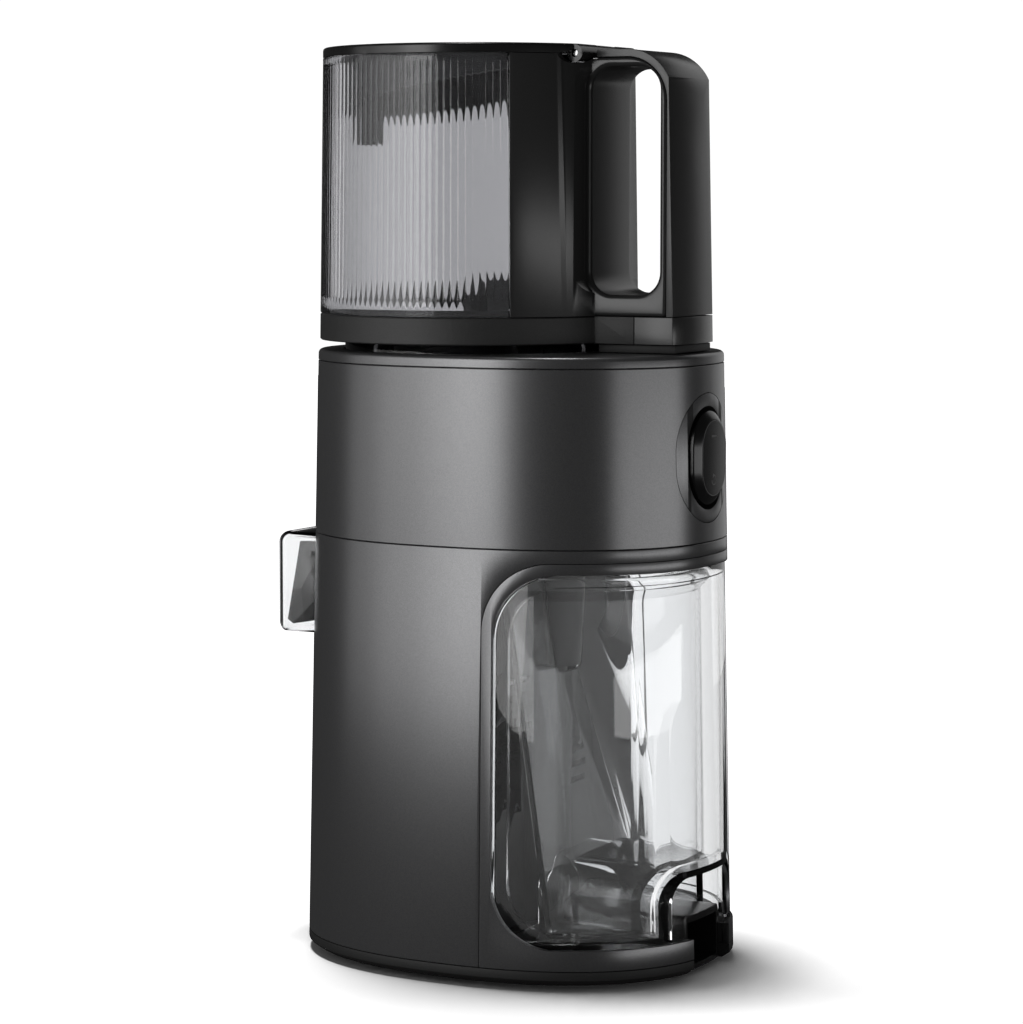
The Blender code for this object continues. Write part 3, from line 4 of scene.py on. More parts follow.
import bpy
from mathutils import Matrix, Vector


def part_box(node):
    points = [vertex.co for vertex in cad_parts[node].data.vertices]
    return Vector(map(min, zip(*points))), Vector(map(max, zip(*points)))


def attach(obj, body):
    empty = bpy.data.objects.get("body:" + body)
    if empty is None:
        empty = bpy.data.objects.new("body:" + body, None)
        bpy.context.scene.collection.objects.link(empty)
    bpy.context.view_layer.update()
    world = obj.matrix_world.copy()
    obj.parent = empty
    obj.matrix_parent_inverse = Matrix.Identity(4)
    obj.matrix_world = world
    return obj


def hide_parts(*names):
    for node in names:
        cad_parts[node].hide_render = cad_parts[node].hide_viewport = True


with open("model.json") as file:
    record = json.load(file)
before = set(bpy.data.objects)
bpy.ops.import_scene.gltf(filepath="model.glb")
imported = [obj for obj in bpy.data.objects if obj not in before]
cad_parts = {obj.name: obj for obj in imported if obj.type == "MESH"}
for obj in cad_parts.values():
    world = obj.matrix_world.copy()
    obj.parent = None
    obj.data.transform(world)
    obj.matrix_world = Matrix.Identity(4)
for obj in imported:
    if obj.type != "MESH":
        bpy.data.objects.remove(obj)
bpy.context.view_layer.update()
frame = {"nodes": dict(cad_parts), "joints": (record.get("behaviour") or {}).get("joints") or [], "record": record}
print("frame loaded")

mm = 0.001
far = 0.5             # longer than the juicer, for cutting blocks
seamGap = 0.3 * mm    # between neighbouring pieces
edgeSoft = 0.25 * mm  # rounding of a moulded edge at a seam


# places, from the frame

def span(node, axis):
    low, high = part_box(node)
    return low[axis], high[axis]


def middle(node, axis):
    return sum(span(node, axis)) / 2


seamZ = span("lower_housing", 2)[1]
centreY = middle("upper_housing", 1)               # middle of the oval body
halfDepth = span("upper_housing", 1)[1] - centreY  # at the seam between the housings
halfWidth = span("upper_housing", 0)[1]
ovalPower = 2.31                                   # 2 is an ellipse, more is squarer
ovalTaper = (span("lower_housing", 0)[1] / halfWidth - 1) / (seamZ - span("lower_housing", 2)[0])
bowlY = middle("juicing_bowl", 1)                  # middle of the bowl, hopper and lid
flangeZ = span("bowl_flange", 2)
hopperZ = span("hopper_window", 2)
flangeRadius = span("bowl_flange", 0)[1]
hopperTaper = 0.015                                # loss of radius for each unit of height
handleTop = span("hopper_shell", 2)[1]
handleHalf = span("flange_rear_block", 0)[1]
handleInset = 4.0 * mm                             # from the body's oval to the handle's rear
hingeY = centreY + 42 * mm                         # the lid's hinge pin
hingeZ = span("lid", 2)[1] - 4.1 * mm


# modelling helpers

def selectNone():
    if bpy.context.object and bpy.context.object.mode != "OBJECT":
        bpy.ops.object.mode_set(mode="OBJECT")
    bpy.ops.object.select_all(action="DESELECT")


def pick(piece):
    selectNone()
    piece.select_set(True)
    bpy.context.view_layer.objects.active = piece
    return piece


def settle(piece):
    pick(piece)
    bpy.ops.object.transform_apply(location=True, rotation=True, scale=True)
    return piece


def tidyMesh(piece, distance=0.01 * mm):
    pick(piece)
    bpy.ops.object.mode_set(mode="EDIT")
    bpy.ops.mesh.select_all(action="SELECT")
    bpy.ops.mesh.remove_doubles(threshold=distance)
    bpy.ops.mesh.normals_make_consistent(inside=False)
    bpy.ops.object.mode_set(mode="OBJECT")
    return piece


def applyModifier(piece, kind, **settings):
    pick(piece)
    modifier = piece.modifiers.new(kind.lower(), kind)
    for key, value in settings.items():
        setattr(modifier, key, value)
    bpy.ops.object.modifier_apply(modifier=modifier.name)
    return piece


def combine(piece, tool, how):
    settle(tool)
    applyModifier(piece, "BOOLEAN", operation=how, object=tool, solver="EXACT")
    bpy.data.objects.remove(tool, do_unlink=True)
    return piece


def cutAway(piece, *tools):
    for tool in tools:
        combine(piece, tool, "DIFFERENCE")
    return piece


def joinWith(piece, *tools):
    for tool in tools:
        combine(piece, tool, "UNION")
    return piece


def keepInside(piece, tool):
    return combine(piece, tool, "INTERSECT")


def roundEdges(piece, width, steps=2, angle=35):
    applyModifier(piece, "BEVEL", width=width, segments=steps, limit_method="ANGLE",
                  angle_limit=math.radians(angle), use_clamp_overlap=True, miter_outer="MITER_ARC")
    return piece


def block(name, x, y, z, radius=0, along="Y", where="all", steps=10):
    # a box from (low, high) pairs, with its edges along one axis rounded
    selectNone()
    centre = Vector((sum(x), sum(y), sum(z))) / 2
    bpy.ops.mesh.primitive_cube_add(size=1, location=centre, scale=(x[1] - x[0], y[1] - y[0], z[1] - z[0]))
    piece = bpy.context.object
    piece.name = name
    settle(piece)
    if radius:
        axis = "XYZ".index(along)
        rules = {"all": lambda p: True, "top": lambda p: p.z > centre.z, "front": lambda p: p.y < centre.y,
                 "topFront": lambda p: p.z > centre.z and p.y < centre.y,
                 "topRear": lambda p: p.z > centre.z and p.y > centre.y}
        for item in [*piece.data.vertices, *piece.data.polygons]:
            item.select = False
        bpy.ops.object.mode_set(mode="EDIT")
        bpy.ops.mesh.select_mode(type="EDGE")
        bpy.ops.object.mode_set(mode="OBJECT")
        for edge in piece.data.edges:
            first, second = (piece.data.vertices[index].co for index in edge.vertices)
            edge.select = abs(first[axis] - second[axis]) > 1e-6 and rules[where]((first + second) / 2)
        bpy.ops.object.mode_set(mode="EDIT")
        bpy.ops.mesh.bevel(offset=radius, segments=steps, affect="EDGES")
        bpy.ops.object.mode_set(mode="OBJECT")
    return piece


def stack(name, levels, point, steps, closed=False):
    # a circle extruded once for each level, then every point put in its place
    selectNone()
    bpy.ops.mesh.primitive_circle_add(vertices=steps, radius=1, fill_type="NOTHING")
    piece = bpy.context.object
    piece.name = name
    bpy.ops.object.mode_set(mode="EDIT")
    bpy.ops.mesh.select_all(action="SELECT")
    if not closed:
        bpy.ops.mesh.edge_face_add()
    for _ in range(levels - 1):
        bpy.ops.mesh.extrude_region_move(TRANSFORM_OT_translate={"value": (0, 0, 1)})
    bpy.ops.object.mode_set(mode="OBJECT")
    if closed:
        for vertex in piece.data.vertices:
            vertex.select = round(vertex.co.z) in (0, levels - 1)
        for edge in piece.data.edges:
            edge.select = all(piece.data.vertices[index].select for index in edge.vertices)
        bpy.ops.object.mode_set(mode="EDIT")
        bpy.ops.mesh.select_mode(type="EDGE")
        bpy.ops.mesh.bridge_edge_loops()
        bpy.ops.object.mode_set(mode="OBJECT")
    for vertex in piece.data.vertices:
        vertex.co = point(math.atan2(vertex.co.y, vertex.co.x), round(vertex.co.z))
    return tidyMesh(piece, 0.002 * mm)


def ovalPlace(angle, z, inset):
    scale = 1 + ovalTaper * (seamZ - z)
    across, along = math.cos(angle), math.sin(angle)
    x = (halfWidth * scale - inset) * math.copysign(abs(across) ** (2 / ovalPower), across)
    y = (halfDepth * scale - inset) * math.copysign(abs(along) ** (2 / ovalPower), along)
    return Vector((x, centreY + y, z))


def oval(name, sections, closed=False, steps=224):
    # sections are (height, inset) pairs
    def point(angle, index):
        return ovalPlace(angle, *sections[index])

    return stack(name, len(sections), point, steps, closed)


def ring(name, sections, steps=160):
    # sections are (radius, height) pairs round the bowl's axis
    def point(angle, index):
        radius, height = sections[index]
        return Vector((radius * math.cos(angle), bowlY + radius * math.sin(angle), height))

    return stack(name, len(sections), point, steps)


def rod(name, radius, start, end, steps=32):
    start, end = Vector(start), Vector(end)
    selectNone()
    bpy.ops.mesh.primitive_cylinder_add(vertices=steps, radius=radius, depth=(end - start).length,
                                        location=(start + end) / 2,
                                        rotation=(end - start).to_track_quat("Z", "Y").to_euler())
    piece = bpy.context.object
    piece.name = name
    return settle(piece)


def copyOf(node, name):
    # a merged copy of a CAD node, ready to be shaped
    piece = bpy.data.objects.new(name, frame["nodes"][node].data.copy())
    bpy.context.scene.collection.objects.link(piece)
    pick(piece)
    bpy.ops.object.mode_set(mode="EDIT")
    bpy.ops.mesh.select_all(action="SELECT")
    bpy.ops.mesh.remove_doubles(threshold=0.005 * mm)
    bpy.ops.mesh.dissolve_limited(angle_limit=math.radians(0.6))
    bpy.ops.object.mode_set(mode="OBJECT")
    piece.data.materials.clear()
    return piece


def bodyOf(node):
    for body, members in frame["record"]["behaviour"]["bodies"].items():
        if node in members:
            return body


def place(piece, node, material, stands=True, sharp=30):
    # finish a piece, and hand it to the body that its CAD node rides on
    settle(piece)
    bpy.ops.object.shade_smooth_by_angle(angle=math.radians(sharp))
    piece.data.materials.clear()
    piece.data.materials.append(material)
    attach(piece, bodyOf(node))
    if stands:
        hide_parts(node)
    return piece


def paintFaces(piece, material, test):
    # a second finish on the faces that the test picks
    piece.data.materials.append(material)
    for face in piece.data.polygons:
        if test(face):
            face.material_index = len(piece.data.materials) - 1
    return piece


# shader groups shared by the finishes

def grey(value, tint=0.0):
    return (value, value, value * (1 + tint), 1.0)


def newGroup(name, inputs, outputs):
    group = bpy.data.node_groups.new(name, "ShaderNodeTree")
    for label, value in inputs.items():
        kind = "NodeSocketColor" if isinstance(value, tuple) else "NodeSocketFloat"
        socket = group.interface.new_socket(name=label, in_out="INPUT", socket_type=kind)
        socket.default_value = value
    for label, kind in outputs.items():
        group.interface.new_socket(name=label, in_out="OUTPUT", socket_type=kind)
    return group, group.nodes.new("NodeGroupInput"), group.nodes.new("NodeGroupOutput")


def addNode(tree, kind, values=None, **settings):
    node = tree.nodes.new(kind)
    for key, value in settings.items():
        setattr(node, key, value)
    for key, value in (values or {}).items():
        node.inputs[key].default_value = value
    return node


def math2(tree, operation, first, second):
    node = addNode(tree, "ShaderNodeMath", operation=operation)
    for socket, value in zip(node.inputs, (first, second)):
        if isinstance(value, (int, float)):
            socket.default_value = value
        else:
            tree.links.new(value, socket)
    return node.outputs[0]


def mouldGrainGroup():
    # spark-eroded mould texture: two sizes of grain
    inputs = {"Scale": 2500.0, "Softness": 0.5}
    group, given, made = newGroup("mouldGrain", inputs, {"Height": "NodeSocketFloat"})
    coords = addNode(group, "ShaderNodeTexCoord")
    fine = addNode(group, "ShaderNodeTexNoise", {"Detail": 3.0, "Roughness": 0.6})
    cells = addNode(group, "ShaderNodeTexVoronoi", feature="F1")
    coarse = math2(group, "MULTIPLY", given.outputs["Scale"], 0.45)
    group.links.new(coords.outputs["Object"], fine.inputs["Vector"])
    group.links.new(coords.outputs["Object"], cells.inputs["Vector"])
    group.links.new(given.outputs["Scale"], fine.inputs["Scale"])
    group.links.new(coarse, cells.inputs["Scale"])
    soft = math2(group, "MULTIPLY", cells.outputs["Distance"], given.outputs["Softness"])
    group.links.new(math2(group, "ADD", fine.outputs["Fac"], soft), made.inputs["Height"])
    return group


def handlingGroup():
    # wiped smears and finger marks, as a change of gloss
    inputs = {"Scale": 14.0, "Amount": 0.1}
    group, given, made = newGroup("handlingMarks", inputs, {"Gloss shift": "NodeSocketFloat"})
    coords = addNode(group, "ShaderNodeTexCoord")
    stretch = addNode(group, "ShaderNodeMapping", {"Scale": (1.0, 1.0, 0.45)})
    smear = addNode(group, "ShaderNodeTexNoise", {"Detail": 5.0, "Roughness": 0.62, "Distortion": 0.6})
    group.links.new(coords.outputs["Object"], stretch.inputs["Vector"])
    group.links.new(stretch.outputs["Vector"], smear.inputs["Vector"])
    group.links.new(given.outputs["Scale"], smear.inputs["Scale"])
    centred = math2(group, "SUBTRACT", smear.outputs["Fac"], 0.5)
    group.links.new(math2(group, "MULTIPLY", centred, given.outputs["Amount"]), made.inputs["Gloss shift"])
    return group


def flakeGroup():
    # metal flake in a paint, as a colour
    inputs = {"Base": grey(0.05), "Flake": grey(0.12), "Scale": 5000.0, "Share": 0.5}
    group, given, made = newGroup("metalFlake", inputs, {"Color": "NodeSocketColor"})
    coords = addNode(group, "ShaderNodeTexCoord")
    cells = addNode(group, "ShaderNodeTexVoronoi", feature="F1")
    cloud = addNode(group, "ShaderNodeTexNoise", {"Scale": 9.0, "Detail": 2.0})
    group.links.new(coords.outputs["Object"], cells.inputs["Vector"])
    group.links.new(coords.outputs["Object"], cloud.inputs["Vector"])
    group.links.new(given.outputs["Scale"], cells.inputs["Scale"])
    pickOne = addNode(group, "ShaderNodeSeparateColor")
    group.links.new(cells.outputs["Color"], pickOne.inputs["Color"])
    amount = math2(group, "MULTIPLY", pickOne.outputs[0], given.outputs["Share"])
    amount = math2(group, "ADD", amount, math2(group, "MULTIPLY", cloud.outputs["Fac"], 0.06))
    mix = addNode(group, "ShaderNodeMix", data_type="RGBA")
    group.links.new(amount, mix.inputs["Factor"])
    group.links.new(given.outputs["Base"], mix.inputs["A"])
    group.links.new(given.outputs["Flake"], mix.inputs["B"])
    group.links.new(mix.outputs["Result"], made.inputs["Color"])
    return group


def wearGroup():
    # lighter, rubbed edges and a trace of dust on what faces up
    inputs = {"Color": grey(0.05), "Worn": grey(0.2), "Wear": 0.25, "Dust": 0.05}
    group, given, made = newGroup("edgeWearAndDust", inputs, {"Color": "NodeSocketColor"})
    shape = addNode(group, "ShaderNodeNewGeometry")
    coords = addNode(group, "ShaderNodeTexCoord")
    scuff = addNode(group, "ShaderNodeTexNoise", {"Scale": 160.0, "Detail": 4.0})
    group.links.new(coords.outputs["Object"], scuff.inputs["Vector"])
    edge = addNode(group, "ShaderNodeMapRange", {"From Min": 0.53, "From Max": 0.62})
    group.links.new(shape.outputs["Pointiness"], edge.inputs["Value"])
    worn = math2(group, "MULTIPLY", edge.outputs["Result"], scuff.outputs["Fac"])
    worn = math2(group, "MULTIPLY", worn, given.outputs["Wear"])
    upward = addNode(group, "ShaderNodeSeparateXYZ")
    group.links.new(shape.outputs["Normal"], upward.inputs["Vector"])
    flat = addNode(group, "ShaderNodeMapRange", {"From Min": 0.7, "From Max": 1.0})
    group.links.new(upward.outputs["Z"], flat.inputs["Value"])
    dust = math2(group, "MULTIPLY", flat.outputs["Result"], scuff.outputs["Fac"])
    dust = math2(group, "MULTIPLY", dust, given.outputs["Dust"])
    mix = addNode(group, "ShaderNodeMix", data_type="RGBA")
    group.links.new(math2(group, "ADD", worn, dust), mix.inputs["Factor"])
    group.links.new(given.outputs["Color"], mix.inputs["A"])
    group.links.new(given.outputs["Worn"], mix.inputs["B"])
    group.links.new(mix.outputs["Result"], made.inputs["Color"])
    return group


mouldGrain = mouldGrainGroup()
handlingMarks = handlingGroup()
metalFlake = flakeGroup()
edgeWear = wearGroup()
print("shader groups ready")


# finishes

def opaque(name, look):
    material = bpy.data.materials.new(name)
    material.use_nodes = True
    tree = material.node_tree
    shader = tree.nodes["Principled BSDF"]
    flake = addNode(tree, "ShaderNodeGroup", node_tree=metalFlake)
    flake.inputs["Base"].default_value = look["color"]
    flake.inputs["Flake"].default_value = look["flake"]
    flake.inputs["Scale"].default_value = look["flakeScale"]
    flake.inputs["Share"].default_value = look["flakeShare"]
    wear = addNode(tree, "ShaderNodeGroup", node_tree=edgeWear)
    wear.inputs["Worn"].default_value = look["worn"]
    wear.inputs["Wear"].default_value = look["wear"]
    wear.inputs["Dust"].default_value = look["dust"]
    tree.links.new(flake.outputs["Color"], wear.inputs["Color"])
    tree.links.new(wear.outputs["Color"], shader.inputs["Base Color"])
    marks = addNode(tree, "ShaderNodeGroup", node_tree=handlingMarks)
    marks.inputs["Scale"].default_value = look["markScale"]
    marks.inputs["Amount"].default_value = look["marks"]
    rough = math2(tree, "ADD", marks.outputs["Gloss shift"], look["roughness"])
    tree.links.new(rough, shader.inputs["Roughness"])
    grain = addNode(tree, "ShaderNodeGroup", node_tree=mouldGrain)
    grain.inputs["Scale"].default_value = look["grainScale"]
    bump = addNode(tree, "ShaderNodeBump", {"Strength": look["grain"], "Distance": look["grainDepth"]})
    tree.links.new(grain.outputs["Height"], bump.inputs["Height"])
    tree.links.new(bump.outputs["Normal"], shader.inputs["Normal"])
    shader.inputs["Metallic"].default_value = look["metallic"]
    shader.inputs["Specular IOR Level"].default_value = look["specular"]
    shader.inputs["Coat Weight"].default_value = look["coat"]
    shader.inputs["Coat Roughness"].default_value = look["coatRoughness"]
    return material


plainLook = {"color": grey(0.016), "flake": grey(0.024), "flakeScale": 3000.0, "flakeShare": 0.3,
             "worn": grey(0.07), "wear": 0.25, "dust": 0.05, "markScale": 14.0, "marks": 0.10,
             "roughness": 0.5, "grainScale": 2600.0, "grain": 0.25, "grainDepth": 0.05 * mm,
             "metallic": 0.0, "specular": 0.45, "coat": 0.0, "coatRoughness": 0.2}


def variant(**changes):
    return {**plainLook, **changes}


gunmetal = opaque("gunmetalPaint", variant(
    color=grey(0.115, 0.02), flake=grey(0.22, 0.02), flakeScale=4200.0, flakeShare=0.35, worn=grey(0.2),
    wear=0.12, dust=0.0, marks=0.04, roughness=0.30, grain=0.08, metallic=0.75))
satinBlack = opaque("satinBlackPlastic", variant(
    color=grey(0.006), flake=grey(0.010), marks=0.07, roughness=0.24, grain=0.04, wear=0.12, dust=0.02))
texturedBlack = opaque("texturedBlackPlastic", variant(
    color=grey(0.014), flake=grey(0.03), roughness=0.55, grain=0.55, grainScale=1700.0,
    grainDepth=0.12 * mm))
handleBlack = opaque("handleBlackPlastic", variant(
    color=grey(0.022), flake=grey(0.032), flakeShare=0.3, roughness=0.26, marks=0.05, wear=0.22))
innerBlack = opaque("innerBlackPlastic", variant(
    color=grey(0.016), roughness=0.55, grain=0.2, specular=0.25))
softRubber = opaque("softRubber", variant(
    color=grey(0.012), roughness=0.85, grain=0.7, grainScale=1200.0, grainDepth=0.15 * mm, marks=0.06))
palePlastic = opaque("paleNylon", variant(
    color=(0.62, 0.59, 0.50, 1), flake=(0.70, 0.67, 0.58, 1), worn=(0.8, 0.78, 0.7, 1), roughness=0.5))
boardGreen = opaque("boardLacquer", variant(
    color=(0.01, 0.10, 0.035, 1), flake=(0.02, 0.15, 0.05, 1), roughness=0.3, grain=0.1, coat=0.3))
brightSteel = opaque("turnedSteel", variant(
    color=grey(0.52), flake=grey(0.60), worn=grey(0.7), roughness=0.28, metallic=1.0, grain=0.12,
    grainScale=900.0))
zincPlate = opaque("zincPlate", variant(
    color=grey(0.38, 0.03), flake=grey(0.50, 0.05), flakeScale=500.0, flakeShare=0.6, worn=grey(0.6),
    roughness=0.36, metallic=1.0))
iconGrey = opaque("printedMark", variant(color=grey(0.11), flake=grey(0.13), roughness=0.5, grain=0.05))


def clear(name, look):
    # see-through plastic; light passes on to what stands behind it
    material = bpy.data.materials.new(name)
    material.use_nodes = True
    tree = material.node_tree
    shader = tree.nodes["Principled BSDF"]
    shader.inputs["Base Color"].default_value = look["color"]
    shader.inputs["Transmission Weight"].default_value = 1.0
    shader.inputs["IOR"].default_value = look["ior"]
    marks = addNode(tree, "ShaderNodeGroup", node_tree=handlingMarks)
    marks.inputs["Scale"].default_value = look["markScale"]
    marks.inputs["Amount"].default_value = look["marks"]
    rough = math2(tree, "ADD", marks.outputs["Gloss shift"], look["roughness"])
    tree.links.new(math2(tree, "MAXIMUM", rough, 0.0), shader.inputs["Roughness"])
    coords = addNode(tree, "ShaderNodeTexCoord")
    flow = addNode(tree, "ShaderNodeTexNoise", {"Scale": look["flowScale"], "Detail": 1.0})
    tree.links.new(coords.outputs["Object"], flow.inputs["Vector"])
    bump = addNode(tree, "ShaderNodeBump", {"Strength": look["flow"], "Distance": look["flowDepth"]})
    tree.links.new(flow.outputs["Fac"], bump.inputs["Height"])
    tree.links.new(bump.outputs["Normal"], shader.inputs["Normal"])
    through = addNode(tree, "ShaderNodeBsdfTransparent", {"Color": look["shadow"]})
    light = addNode(tree, "ShaderNodeLightPath")
    mix = addNode(tree, "ShaderNodeMixShader")
    tree.links.new(light.outputs["Is Shadow Ray"], mix.inputs["Fac"])
    tree.links.new(shader.outputs["BSDF"], mix.inputs[1])
    tree.links.new(through.outputs["BSDF"], mix.inputs[2])
    tree.links.new(mix.outputs["Shader"], tree.nodes["Material Output"].inputs["Surface"])
    return material


clearLook = {"color": (0.95, 0.955, 0.96, 1), "ior": 1.38, "roughness": 0.015, "marks": 0.03,
             "markScale": 20.0, "flow": 0.10, "flowScale": 22.0, "flowDepth": 0.4 * mm,
             "shadow": (0.9, 0.9, 0.9, 1)}
clearPlastic = clear("clearPlastic", clearLook)
cupPlastic = clear("cupPlastic", {**clearLook, "ior": 1.25})
smokedPlastic = clear("smokedPlastic", {**clearLook, "color": (0.56, 0.56, 0.575, 1), "roughness": 0.05,
                                        "shadow": (0.55, 0.55, 0.56, 1)})
print("finishes ready")


# base shells

housing = {"wall": 2.5 * mm, "edge": 0.3 * mm, "ringSoft": 2.0 * mm, "bowlHole": 60.6 * mm,
           "spoutHalf": 16.5 * mm, "spoutSill": 5 * mm, "spoutTop": 2 * mm, "spoutCorner": 4 * mm,
           "plateEdge": 0.4 * mm}
windowFrame = {"wall": 3 * mm, "corner": 30 * mm, "innerCorner": 28 * mm, "edge": 0.5 * mm, "above": 1 * mm}


def archWay(name, front, low, high, corner):
    # a way through from the side, open to the rear, with its upper front corner rounded
    return block(name, (-far, far), (front, far), (low, high), corner, "X", "topFront", 24)


def wallOval(name, low, high, wall):
    return oval(name, [(low, edgeSoft), (low + edgeSoft, 0), (high - edgeSoft, 0), (high, edgeSoft),
                       (high, wall), (low, wall)], closed=True)


def makeHousings():
    frameLow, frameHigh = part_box("window_frame")
    shell = wallOval("lowerHousing", *span("lower_housing", 2), housing["wall"])
    cutAway(shell, archWay("frameWay", frameLow.y - seamGap, -far, frameHigh.z + seamGap,
                           windowFrame["corner"]))
    sill, top = span("juice_spout", 2)
    cutAway(shell, block("spoutWay", (-housing["spoutHalf"], housing["spoutHalf"]), (-far, 0),
                         (sill + housing["spoutSill"], top - housing["spoutTop"]), housing["spoutCorner"]))
    roundEdges(shell, housing["edge"])
    place(shell, "lower_housing", gunmetal)

    shell = wallOval("upperHousing", *span("upper_housing", 2), housing["wall"])
    cutAway(shell, switchForm("switchWay", switch["seam"], [(0, -seamGap), (far, -seamGap)]))
    place(shell, "upper_housing", gunmetal)

    low, high = span("top_ring", 2)
    soft = housing["ringSoft"]
    arc = [(high - soft + soft * math.sin(turn), soft - soft * math.cos(turn))
           for turn in (math.radians(15 * step) for step in range(7))]
    cap = oval("topRing", [(low, edgeSoft), (low + edgeSoft, 0), *arc])
    cutAway(cap, ring("bowlWay", [(housing["bowlHole"], 0), (housing["bowlHole"], far)]))
    place(cap, "top_ring", gunmetal)

    plate = copyOf("bottom_plate", "bottomPlate")
    roundEdges(plate, housing["plateEdge"])
    place(plate, "bottom_plate", innerBlack)
    print("housings ready")


def makeWindowFrame():
    low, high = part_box("window_frame")
    coverLow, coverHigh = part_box("container_cover")
    wall, over = windowFrame["wall"], high.z + windowFrame["above"]
    rim = oval("windowFrame", [(low.z, edgeSoft), (low.z + edgeSoft, 0), (over, 0), (over, wall),
                               (low.z, wall)], closed=True)
    keepInside(rim, archWay("frameShape", low.y, -far, high.z, windowFrame["corner"]))
    cutAway(rim, archWay("coverWay", coverLow.y - seamGap, coverLow.z - seamGap, coverHigh.z + seamGap,
                         windowFrame["innerCorner"]))
    inlet = span("inlet_housing", 0)[1] + seamGap
    cutAway(rim, block("inletWay", (-inlet, inlet), (0, far), (-far, coverLow.z)))
    roundEdges(rim, windowFrame["edge"])
    place(rim, "window_frame", gunmetal)
    print("window frame ready")


# switch

switch = {"z": middle("switch_bezel", 2), "seam": (25 * mm, 28 * mm), "pocket": (17.2 * mm, 22.5 * mm),
          "rocker": (15.8 * mm, 20.5 * mm), "outline": (11.7 * mm, 16.4 * mm), "pocketDepth": 11 * mm,
          "dark": (17.8 * mm, 23.1 * mm, 1.2 * mm), "thick": 8.5 * mm, "chamfer": 3.6 * mm,
          "slope": 2.4 * mm, "bezelEdge": 0.25 * mm, "rockerEdge": 0.5 * mm, "axle": (1.8 * mm, 16.9 * mm),
          "boss": (3.5 * mm, 12.6 * mm), "markProud": 0.02 * mm, "markDepth": 0.12 * mm,
          "markLine": 0.3 * mm, "bar": (2.6 * mm, 9.2 * mm, 9.9 * mm), "arrowDrop": 9.5 * mm}


def switchForm(name, halves, sections):
    # an upright slot shape, from (depth, inset) pairs
    steps = 80

    def point(angle, index):
        depth, inset = sections[index]
        half, tall = halves[0] - inset, halves[1] - inset
        angle += math.pi / steps
        across, up = math.cos(angle), math.sin(angle)
        return Vector((half * across, depth, switch["z"] + half * up + math.copysign(tall - half, up)))

    return stack(name, len(sections), point, steps)


def makeSwitch():
    low, high = span("switch_bezel", 1)
    surface = ovalPlace(math.pi / 2, switch["z"], 0).y
    bezel = switchForm("switchBezel", switch["seam"], [(low, 0), (far, 0)])
    keepInside(bezel, oval("bezelFace", [(height, 0) for height in span("upper_housing", 2)]))
    cutAway(bezel, switchForm("pocketWay", switch["pocket"],
                              [(surface - switch["pocketDepth"], 0), (far, 0)]))
    roundEdges(bezel, switch["bezelEdge"], 2)
    place(bezel, "switch_bezel", gunmetal)
    half, tall, deep = switch["dark"]
    paintFaces(bezel, innerBlack, lambda face: abs(face.center.x) < half
               and abs(face.center.z - switch["z"]) < tall and face.center.y < surface - deep)

    high = span("power_rocker", 1)[1]
    sections = [(high - switch["thick"], 0), (high - switch["slope"], 0), (high, switch["chamfer"])]
    rocker = switchForm("powerRocker", switch["rocker"], sections)
    roundEdges(rocker, switch["rockerEdge"], 3, 30)
    axisY = frame["joints"][0]["pos_m"][1]
    for part in ("axle", "boss"):
        radius, half = switch[part]
        joinWith(rocker, rod("rocker" + part.capitalize(), radius, (-half, axisY, switch["z"]),
                             (half, axisY, switch["z"])))
    place(rocker, "power_rocker", satinBlack)

    back, face = high - switch["markDepth"], high + switch["markProud"]
    edge = switchForm("rockerOutline", switch["outline"], [(back, 0), (face, 0)])
    cutAway(edge, switchForm("outlineInside", switch["outline"],
                             [(high - 1 * mm, switch["markLine"]), (far, switch["markLine"])]))
    half, barLow, barHigh = switch["bar"]
    bar = block("onMark", (-half, half), (back, face), (switch["z"] + barLow, switch["z"] + barHigh))
    turnBack = returnArrow("reverseMark", switch["z"] - switch["arrowDrop"], back, face)
    for mark in (edge, bar, turnBack):
        place(mark, "power_rocker", iconGrey, stands=False)
    print("switch ready")


arrowMark = {"outer": 2.3 * mm, "inner": 1.75 * mm, "gap": 4 * mm, "head": 1.25 * mm,
             "headAt": (0.4 * mm, 2.02 * mm)}


def returnArrow(name, z, low, high):
    # three quarters of a thin ring with an arrow head
    past = 1 * mm
    gap = arrowMark["gap"]
    arrow = rod(name, arrowMark["outer"], (0, low, z), (0, high, z), 40)
    cutAway(arrow, rod("arrowInside", arrowMark["inner"], (0, low - past, z), (0, high + past, z), 40))
    cutAway(arrow, block("arrowGap", (0, gap), (low - past, high + past), (z, z + gap)))
    headX, headZ = arrowMark["headAt"]
    selectNone()
    bpy.ops.mesh.primitive_cylinder_add(vertices=3, radius=arrowMark["head"], depth=high - low,
                                        location=(headX, (low + high) / 2, z + headZ),
                                        rotation=(math.pi / 2, math.pi / 6, 0))
    return joinWith(arrow, bpy.context.object)


# pulp container

container = {"inset": 1.2 * mm, "wall": 2.5 * mm, "bead": 4.6 * mm, "beadWidth": 5.5 * mm,
             "corner": 28 * mm, "coverEdge": 0.7 * mm, "tunnelHalf": 30 * mm, "tunnelTop": 45 * mm,
             "tunnelCorner": 11 * mm, "cupInset": 12 * mm, "cupWall": 2.0 * mm,
             "cupTop": span("pulp_cup", 2)[1], "rimHeight": 9 * mm, "rimFlare": 3.5 * mm,
             "frontAtRim": 22.5 * mm, "slant": 0.133, "cupRound": 4 * mm, "cupEdge": 0.4 * mm,
             "chuteRoom": (1 * mm, 3 * mm)}


def tunnel(name, grow):
    half = container["tunnelHalf"] + grow
    return block(name, (-half, half), (-far, far), (-far, container["tunnelTop"] + grow),
                 container["tunnelCorner"] + grow, "Y", "top", 12)


